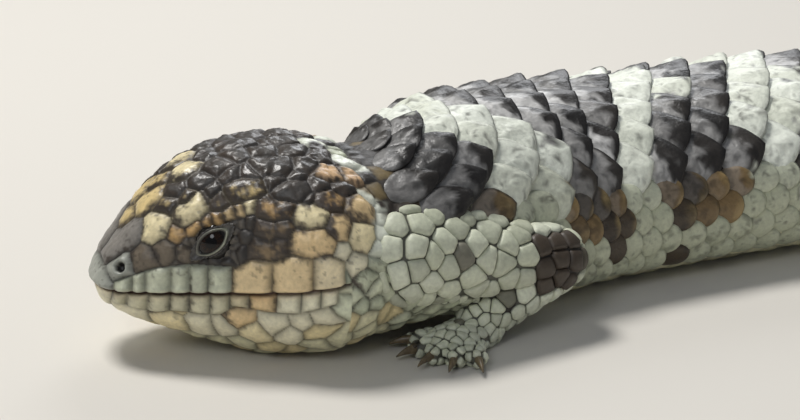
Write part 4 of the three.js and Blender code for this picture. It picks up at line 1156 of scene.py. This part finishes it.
def flank_rows():
    """The smaller, rounder scales of both flanks, down to where the belly meets the floor"""
    coat = Coat()
    for side in (LEFT, RIGHT):
        for row in range(FLANK_ROWS):
            for count in np.arange(0, (TOTAL - HEAD) / FLANK_PITCH + 6, 1.0):
                s = HEAD + 16 + (count + 0.5 * (row % 2)) * FLANK_PITCH * 0.95
                if s > TOTAL - 7:
                    continue
                f = ROW_SPAN + (row * FLANK_ROW + 1.0) / float(reach(s))
                if f > 0.66 or near_limb(s, side * f) or body_point(s, side * f)[2] < 2.2:
                    continue
                key = side * 31.3 + row * 91.7 + count * 3.77
                length = 0.68 * FLANK_PITCH * (0.94 + 0.14 * chance(key, 2))
                width = 0.72 * FLANK_ROW * (0.94 + 0.14 * chance(key, 3)) * 1.12
                rear = mix(2.0, 1.2, row / (FLANK_ROWS - 1)) + 0.3 * chance(key, 4)
                coat.add(*body_scute(s, side * f, length, width, rear, -0.5, 0.05, key, FLANK_STYLE))
    return coat


coats = [back_rows().made("back_scutes", scute_material), flank_rows().made("flank_scales", scute_material)]
for piece in coats:
    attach(piece, "root")

# The limbs: tapered lengths and toes fused into one skin each, with rounded scales over them
LIMB_VOXEL = 0.5


def tube(ends, radii, sides=20):
    """A closed tube between two points, with a radius at each and round ends"""
    a, b = ends
    length = np.linalg.norm(b - a)
    axis, across, upwards = axes_along(b - a)
    caps = [(math.cos(t), math.sin(t)) for t in np.linspace(0.25, 1.35, 5)]
    stations = [(-beyond * radii[0], wide * radii[0]) for beyond, wide in caps]
    stations += [(along * length, mix(*radii, along)) for along in np.linspace(0, 1, 8)]
    stations += [(length + beyond * radii[1], wide * radii[1]) for beyond, wide in reversed(caps)]
    turns = np.arange(sides) * 2 * np.pi / sides
    ring = np.outer(np.cos(turns), across) + np.outer(np.sin(turns), upwards)
    rings = [a + axis * along + ring * r for along, r in stations]
    points = np.concatenate(rings + [[a - axis * radii[0]], [b + axis * radii[1]]])
    faces = ring_quads(len(stations), sides).tolist()
    tip, last = len(stations) * sides, (len(stations) - 1) * sides
    for i in range(sides):
        j = (i + 1) % sides
        faces += [(tip, j, i), (tip + 1, last + i, last + j)]
    return points, faces


def limb_base(limb):
    """The limb's lengths, palm and toes as closed shapes"""
    ra, rb, rc = limb["radii"]
    shapes = [
        tube((limb["root"], limb["bend"]), (ra, rb)),
        tube((limb["bend"], limb["end"]), (rb * 0.98, rc)),
        tube((limb["end"], limb["heel"]), (rc, limb["half"] * 0.8)),
    ]
    palm, faces = tube((limb["heel"], limb["knuckles"]), (limb["half"] * 0.95, limb["half"]))
    palm[:, 2] = limb["heel"][2] + (palm[:, 2] - limb["heel"][2]) * 0.62
    shapes.append((palm, faces))
    for start, way, length in limb["toes"]:
        shapes.append(tube((start, start + way * length), (TOE_RADIUS * 1.02, TOE_RADIUS * 0.85), 14))
    return shapes


def fused(shapes):
    """The points and quads of one skin round several closed shapes"""
    shape = bmesh.new()
    for points, faces in shapes:
        verts = [shape.verts.new(p * MM) for p in points]
        for face in faces:
            shape.faces.new([verts[i] for i in face])
    bmesh.ops.recalc_face_normals(shape, faces=shape.faces)
    mesh = bpy.data.meshes.new("shapes")
    shape.to_mesh(mesh)
    shape.free()
    piece = in_scene("shapes", mesh)
    remesh = piece.modifiers.new("fuse", "REMESH")
    remesh.mode = "VOXEL"
    remesh.voxel_size = LIMB_VOXEL * MM
    smooth = piece.modifiers.new("smooth", "CORRECTIVE_SMOOTH")
    smooth.iterations = 6
    smooth.use_only_smooth = True
    graph = bpy.context.evaluated_depsgraph_get()
    final = bpy.data.meshes.new_from_object(piece.evaluated_get(graph))
    bpy.data.objects.remove(piece)
    points = np.zeros(len(final.vertices) * 3, np.float32)
    final.vertices.foreach_get("co", points)
    loops = np.zeros(len(final.loops), np.int32)
    final.loops.foreach_get("vertex_index", loops)
    for spare in (mesh, final):
        bpy.data.meshes.remove(spare)
    return points.reshape(-1, 3).astype(float) / MM, loops.reshape(-1, 4)


COARSE = 4
coarse_points = body_point(S[::COARSE, ::COARSE], F[::COARSE, ::COARSE])
body_tree = BVHTree.FromPolygons(
    coarse_points.reshape(-1, 3).tolist(), ring_quads(*coarse_points.shape[:2]).tolist()
)


def body_distance(points):
    """The distance outside the body, negative inside it"""
    result = np.zeros(len(points))
    for i, point in enumerate(points.tolist()):
        near, normal, _, distance = body_tree.find_nearest(point)
        result[i] = distance if (Vector(point) - near).dot(normal) >= 0 else -distance
    return result


def limb_paint(points, kind, side, limb):
    """Colours of a limb: pale on top, with dark patches at the bend and here and there"""
    tone = 0.5 + 0.5 * noise(points, 6, 81)
    main = mix(mix(GREY_GREEN, PALE, 0.7), mix(PALE, WHITE, 0.4), tone[:, None])
    patch = np.zeros(len(points))
    for share_out, outwards, size in ((0.95, 5.5, 6.2), (0.32, 7.5, 2.2)):
        middle = mix(limb["root"], limb["bend"], share_out) + np.array([0, -side * outwards, 1.2])
        far = np.linalg.norm(points - middle, axis=1) + 0.8 * noise(points, 4, 82)
        patch = np.maximum(patch, smoothstep(size + 0.4, size - 0.4, far))
    spread, more = (5.0, -0.06) if kind == "foreleg" else (8.0, 0.1)
    spots = smoothstep(0.72, 0.78, 0.5 + 0.5 * noise(points, spread, 83) + more)
    return mix(main, mix(CHARCOAL, BROWN, 0.55), np.clip(patch + spots, 0, 1)[:, None])


PEBBLE_GAP, ROUND_LIMB = 0.05, 1.08
PEBBLE_SIZES = ([0, 0.35, 0.62, 0.75, 1.0], [4.3, 4.1, 3.2, 2.3, 1.7])
SHOWN_TO, FOOT_LENGTH = -3.5, 8
ISLAND_WIDE, ISLAND_TALL = 0.22, 0.96


def shown_limb(limb):
    """The part of a limb's skin that shows: points, normals, faces and distances outside the body"""
    points, faces = fused(limb_base(limb))
    normals = normals_of(points, faces)
    outside = body_distance(points)
    push = blended(outside) * off_floor(points)
    points = points + normals * push[:, None]
    points[:, 2] = np.maximum(points[:, 2], FLOOR_ROOM)
    faces = faces[(outside > SHOWN_TO)[faces].all(1)]
    wanted = np.unique(faces)
    renumber = np.full(len(points), -1)
    renumber[wanted] = np.arange(len(wanted))
    return points[wanted], normals[wanted], renumber[faces], outside[wanted]


def limb_places(points, limb):
    """Each point's share of the way along the limb, its turn round it, the way the limb runs there and
    the distance from its middle, with the limb's length"""
    joints = [limb["root"], limb["bend"], limb["end"], limb["knuckles"] + limb["forwards"] * FOOT_LENGTH]
    spans = [np.linalg.norm(b - a) for a, b in zip(joints, joints[1:])]
    offsets = np.concatenate([[0], np.cumsum(spans)])
    best, along, turn = np.full(len(points), 1e9), np.zeros(len(points)), np.zeros(len(points))
    lie = np.zeros_like(points)
    for a, b, span, offset in zip(joints, joints[1:], spans, offsets):
        axis, across, upwards = axes_along(b - a)
        t = np.clip((points - a) @ axis, 0, span)
        away = points - a - t[:, None] * axis
        distance = np.linalg.norm(away, axis=1)
        closer = distance < best
        best = np.where(closer, distance, best)
        along = np.where(closer, offset + t, along)
        turn = np.where(closer, np.arctan2(away @ across, away @ upwards), turn)
        lie = np.where(closer[:, None], axis, lie)
    return along / offsets[-1], turn, lie, best, offsets[-1]


def spread_out(points, gaps, free):
    """Numbers of points picked in a shuffled order, each with its own gap to the next"""
    tree = tree_of(points)
    picked = []
    for i in np.argsort(chance(np.arange(len(points)), 17)).tolist():
        if free[i]:
            picked.append(i)
            for _, j, _ in tree.find_range(points[i].tolist(), float(gaps[i]) * 0.86):
                free[j] = False
    return picked


def pebble_outline(around_it, way, cross, size):
    """The radius each way of a scale that meets its neighbours in straight sides"""
    flat_way = np.stack([around_it @ way, around_it @ cross], -1)
    flat_way *= (np.linalg.norm(around_it, axis=1) / np.linalg.norm(flat_way, axis=1))[:, None]
    towards = flat_way @ np.stack([np.cos(ring_turn), np.sin(ring_turn)])
    closeness = np.maximum(towards, 0) / ((flat_way**2).sum(1)[:, None] / 2 + 1e-6)
    return ((closeness**18).sum(0) + size**-18.0) ** (-1 / 18) - PEBBLE_GAP


def build_limb(kind, side, limb, island):
    """The skin and the scales of one limb"""
    points, normals, faces, outside = shown_limb(limb)
    along, turn, lie, best, length = limb_places(points, limb)
    turns = turn / (2 * np.pi) + 0.5
    uv = np.stack([0.02 + ISLAND_WIDE * turns + 0.25 * island, 0.02 + ISLAND_TALL * along], -1)
    paint = limb_paint(points, kind, side, limb)
    # The skin between the scales, darkened with painted shade
    shaded_gap_paint = mix(paint, CHARCOAL, 0.75) * 0.6
    label = f"{kind}_{SIDE_NAMES[side]}"
    piece = new_mesh(label + "_skin", points, faces, uv, leg_material, shaded_gap_paint, 0.35)
    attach(piece, "root")
    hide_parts(*(f"{part}_{SIDE_NAMES[side]}" for part in LIMB_PARTS[kind]))

    coat = Coat()
    gaps = np.interp(along, *PEBBLE_SIZES)
    limb_tree = BVHTree.FromPolygons(points.tolist(), faces.tolist())
    picked = spread_out(points, gaps, (outside > -1.0) & (points[:, 2] > 0.8))
    for i in picked:
        normal, way = normals[i], lie[i] - (lie[i] @ normals[i]) * normals[i]
        if np.linalg.norm(way) < 0.15:
            continue
        way = way / np.linalg.norm(way)
        cross = np.cross(normal, way)
        size = gaps[i] * 0.8
        around_it = points[picked] - points[i]
        far = np.linalg.norm(around_it, axis=1)
        around_it = around_it[(far > 0) & (far < 1.9 * gaps[i])]
        back, aside = outlined(pebble_outline(around_it, way, cross, size))
        flat = points[i] + np.outer(back, way) + np.outer(aside * ROUND_LIMB, cross)
        back, aside = back / size, aside / size
        height = scute_heights(back, aside, 0.15 * gaps[i] + 0.25, 0.45, 0, 0.6, 0.5, 0.42)
        made = np.zeros_like(flat)
        for k, spot in enumerate((flat + normal * 0.2).tolist()):
            near, facing, _, _ = limb_tree.find_nearest(spot)
            made[k] = np.array(near) + (np.array(facing) + normal) / 2 * height[k]
        made[:, 2] = np.maximum(made[:, 2], FLOOR_ROOM)
        tone = limb_paint(points[i][None], kind, side, limb)[0] * (0.85 + 0.3 * chance(i, 4))
        # Painted shade on the edge, wall and underside of each scale
        rim = smoothstep(0.95, 1.04, RING_OUT)
        colours = blend(np.broadcast_to(tone, made.shape), tone * 0.25, 0.85 * rim)
        girth = 2 * np.pi * max(best[i], 2)
        patch = 0.6 * size * np.array([ISLAND_WIDE / girth, ISLAND_TALL / length])
        coat.add(made, colours, 0.6 - 0.25 * rim, uv[i] + np.stack([aside, back], -1) * patch)
    scales = coat.made(label + "_scales", leg_material)
    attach(scales, "root")


LIMB_PARTS = {"foreleg": ("upper_arm", "forearm", "hand"), "hindleg": ("thigh", "shank", "hind_foot")}
for island, ((kind, side), limb) in enumerate(FRAMES.items()):
    build_limb(kind, side, limb, island)

# The claws: curved horns that taper from the end of each toe
CLAW_SIDES, CLAW_RINGS = 10, 9
UP = np.array([0, 0, 1.0])


def claw(start, way, length):
    """The rings of points of one claw"""
    t = np.linspace(0, 1, CLAW_RINGS)[:, None, None]
    turns = (np.arange(CLAW_SIDES) * 2 * np.pi / CLAW_SIDES)[:, None]
    centre = start + way * (length + TOE_RADIUS * 0.35 + t * (CLAW + 1.0))
    bow = 0.55 * np.sin(t * np.pi * 0.62) - 1.25 * t**1.6
    aside = np.array([-way[1], way[0], 0])
    section = aside * np.cos(turns) * 0.8 + UP * np.sin(turns)
    rings = centre + UP * bow + section * (1.02 * (1 - t) ** 0.75 + 0.1)
    rings[..., 2] = np.maximum(rings[..., 2], FLOOR_ROOM)
    return rings.reshape(-1, 3)


claw_points = [claw(*toe) for limb in FRAMES.values() for toe in limb["toes"]]
claw_quads = ring_quads(CLAW_RINGS, CLAW_SIDES)[:, [0, 3, 2, 1]]
claw_uv = np.indices((CLAW_RINGS, CLAW_SIDES)).reshape(2, -1).T / [CLAW_RINGS - 1, CLAW_SIDES] * 0.9 + 0.05
claws = new_mesh(
    "claws", np.concatenate(claw_points),
    np.concatenate([claw_quads + k * CLAW_RINGS * CLAW_SIDES for k in range(len(claw_points))]),
    np.tile(claw_uv, (len(claw_points), 1)), claw_material,
)
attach(claws, "root")


# The eyes
def eye_centre(side):
    """The middle of an eyeball and the way it looks"""
    at = body_point(EYE_S, side * EYE_F)
    ahead = body_point(EYE_S + 0.4, side * EYE_F) - body_point(EYE_S - 0.4, side * EYE_F)
    down = body_point(EYE_S, side * EYE_F + 0.01) - body_point(EYE_S, side * EYE_F - 0.01)
    facing = np.cross(down, ahead)
    facing *= np.sign(facing @ (at - place(np.array(EYE_S), np.array(0.0), np.array(20.0))))
    facing /= np.linalg.norm(facing)
    return at - facing * EYE_DEPTH, facing


BALL_RINGS, BALL_SIDES = 41, 64
IRIS_DARK, IRIS_LIGHT = colour("1a110b"), colour("2e1d11")


def eyeball(side):
    """A round eye that shows through the lids"""
    centre, facing = eye_centre(side)
    _, across, upwards = axes_along(facing)
    polar = np.linspace(0, np.pi, BALL_RINGS)[:, None, None]
    turns = (np.arange(BALL_SIDES) * 2 * np.pi / BALL_SIDES)[:, None]
    spots = facing * np.cos(polar) + (across * np.cos(turns) + upwards * np.sin(turns)) * np.sin(polar)
    uv = 0.5 + 0.49 * polar / np.pi * np.concatenate([np.cos(turns), np.sin(turns)], 1)
    out = polar * EYE_RADIUS
    iris = smoothstep(1.0, 1.25, out) * smoothstep(2.6, 2.2, out)
    streaks = 0.5 + 0.5 * np.sin(turns * 23 + 2 * np.sin(turns * 7))
    tint = mix(BLACK * 0.35, mix(IRIS_DARK, IRIS_LIGHT, streaks), iris)
    tint = mix(tint, mix(BLACK, SLATE, 0.15), smoothstep(2.5, 2.9, out))
    piece = new_mesh(
        f"eyeball_{SIDE_NAMES[side]}", centre + spots.reshape(-1, 3) * EYE_RADIUS,
        ring_quads(BALL_RINGS, BALL_SIDES)[:, [0, 3, 2, 1]], uv.reshape(-1, 2), eye_material,
        tint.reshape(-1, 3), 1.0,
    )
    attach(piece, "root")
    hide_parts(f"eye_{SIDE_NAMES[side]}")


# The lids: steps outwards over the ball and under the beads, each with its share out and its height
LID_SIDES = 120
LID_RING = [
    (0.84, -0.5), (0.93, -0.05), (1.0, 0.22), (1.06, 0.4), (1.13, 0.47), (1.21, 0.4), (1.27, 0.22),
    (1.32, 0.05), (1.37, 0.04), (1.44, 0.26), (1.52, 0.34), (1.6, 0.24), (1.7, -0.1), (1.9, -0.9),
]


def lids(side):
    """The lids round one eye, over the ball inside and the skin outside"""
    centre, _ = eye_centre(side)
    turns = np.arange(LID_SIDES) * 2 * np.pi / LID_SIDES
    rear, front = np.maximum(np.cos(turns - 0.2), 0), np.maximum(-np.cos(turns - 0.1), 0)
    pointed = 1 + 0.26 * rear**8 + 0.2 * front**8
    points, tints, uv = [], [], []
    for q, height in LID_RING:
        across = np.cos(turns) * q * APERTURE[0] * pointed
        up = np.sin(turns) * q * APERTURE[1] * pointed
        s = EYE_S + across * math.cos(EYE_TILT) - up * math.sin(EYE_TILT)
        f = side * (EYE_F - (across * math.sin(EYE_TILT) + up * math.cos(EYE_TILT)) / reach(s))
        on_skin = body_point(s, f)
        from_ball = on_skin - centre
        far = np.linalg.norm(from_ball, axis=1, keepdims=True)
        ball = centre + from_ball / far * EYE_RADIUS
        surface = np.where(far > EYE_RADIUS, mix(ball, on_skin, smoothstep(1.05, 1.6, q)), ball)
        surface = mix(surface, on_skin, smoothstep(1.5, 1.9, q))
        beads = 0.12 * np.sin(turns * 26 + q * 2) * smoothstep(1.35, 1.5, q)
        out = surface - centre
        out /= np.linalg.norm(out, axis=1, keepdims=True)
        points.append(surface + out * (height + beads + 0.05 * noise(surface, 0.6, 91))[:, None])
        ring_tone = blend(SLATE, PALE, 0.36 + 0.26 * np.cos(turns + 0.8))
        # Painted shade where the lids meet the ball
        tint = mix(CREVICE_SHADE, ring_tone, smoothstep(0.96, 1.1, q))
        tint = mix(tint, mix(SLATE, CHARCOAL, 0.45), smoothstep(1.22, 1.4, q))
        tints.append(blend(tint, tint * 0.6, 0.35 + 0.35 * noise(surface, 0.7, 92)))
        uv.append(body_uv(s, f))
    faces = ring_quads(len(LID_RING), LID_SIDES)
    piece = new_mesh(
        f"eyelids_{SIDE_NAMES[side]}", np.concatenate(points), faces if side == LEFT else faces[:, ::-1],
        np.concatenate(uv), skin_material, np.concatenate(tints), 0.8,
    )
    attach(piece, "root")


for make in (eyeball, lids):
    make(LEFT)
    make(RIGHT)

# A pale floor that runs up behind
FLOOR, BEND_FROM, BEND_RADIUS, BACK_TALL = 3.0, 1.2, 0.8, 3.0
bend = [
    (BEND_FROM + BEND_RADIUS * math.sin(a), BEND_RADIUS * (1 - math.cos(a)))
    for a in np.linspace(0.1, math.pi / 2, 12)
]
floor_line = [(-FLOOR, 0), (BEND_FROM, 0), *bend, (BEND_FROM + BEND_RADIUS, BACK_TALL)]
verts = [(x, y, z) for x in (-FLOOR, FLOOR) for y, z in floor_line]
count = len(floor_line)
floor_mesh = bpy.data.meshes.new("floor")
floor_mesh.from_pydata(verts, [], [(i, i + count, i + count + 1, i + 1) for i in range(count - 1)])
floor_mesh.polygons.foreach_set("use_smooth", [True] * len(floor_mesh.polygons))
floor = in_scene("floor", floor_mesh)
floor_material, tree, shader = material("pale_floor")
feed(tree, shader, Base_Color=(*colour("d9d5cd"), 1), Roughness=0.85)
floor_mesh.materials.append(floor_material)

# Soft light from all round and from three lamps, in metres and watts
world = bpy.data.worlds.new("studio")
world.use_nodes = True
feed(world.node_tree, world.node_tree.nodes["Background"], Color=(0.86, 0.91, 1.0, 1), Strength=0.19)
bpy.context.scene.world = world
LAMP_AIM = Vector((-0.06, -0.01, 0.015))


def soft_light(name, where, size, power, tone):
    """A round lamp aimed at the animal's shoulders"""
    light = bpy.data.lights.new(name, "AREA")
    light.shape = "DISK"
    light.size = size
    light.energy = power
    light.color = tone
    lamp = in_scene(name, light)
    lamp.location = Vector(where)
    lamp.rotation_mode = "QUATERNION"
    lamp.rotation_quaternion = (LAMP_AIM - lamp.location).to_track_quat("-Z", "Y")


soft_light("key_light", (-0.3, 0.35, 0.95), 0.3, 9.0, (1.0, 0.98, 0.95))
soft_light("fill_light", (-0.85, -0.65, 0.75), 0.4, 2.4, (0.93, 0.96, 1.0))
soft_light("back_light", (0.5, 0.8, 0.6), 0.5, 3.0, (0.95, 0.97, 1.0))

# The camera, by its place, its turns in radians and its lens
CAMERA_AT = Vector((-301.23, -350.74, 147.06))
YAW, PITCH, ROLL = 0.5284, -0.3081, 0.0263
LENS, SENSOR = 94.26, 36
camera_data = bpy.data.cameras.new("camera")
camera_data.sensor_width = SENSOR
camera_data.lens = LENS
camera_data.clip_start, camera_data.clip_end = 0.01, 20
camera = in_scene("camera", camera_data)
forwards = Vector((math.cos(PITCH) * math.sin(YAW), math.cos(PITCH) * math.cos(YAW), math.sin(PITCH)))
right = forwards.cross(Vector((0, 0, 1))).normalized()
upwards = right.cross(forwards)
image_x = right * math.cos(ROLL) + upwards * math.sin(ROLL)
image_y = upwards * math.cos(ROLL) - right * math.sin(ROLL)
turn = Matrix((image_x, image_y, -forwards)).transposed()
camera.matrix_world = Matrix.Translation(CAMERA_AT * MM) @ turn.to_4x4()
bpy.context.scene.camera = camera
bpy.context.scene.view_settings.view_transform = "Standard"
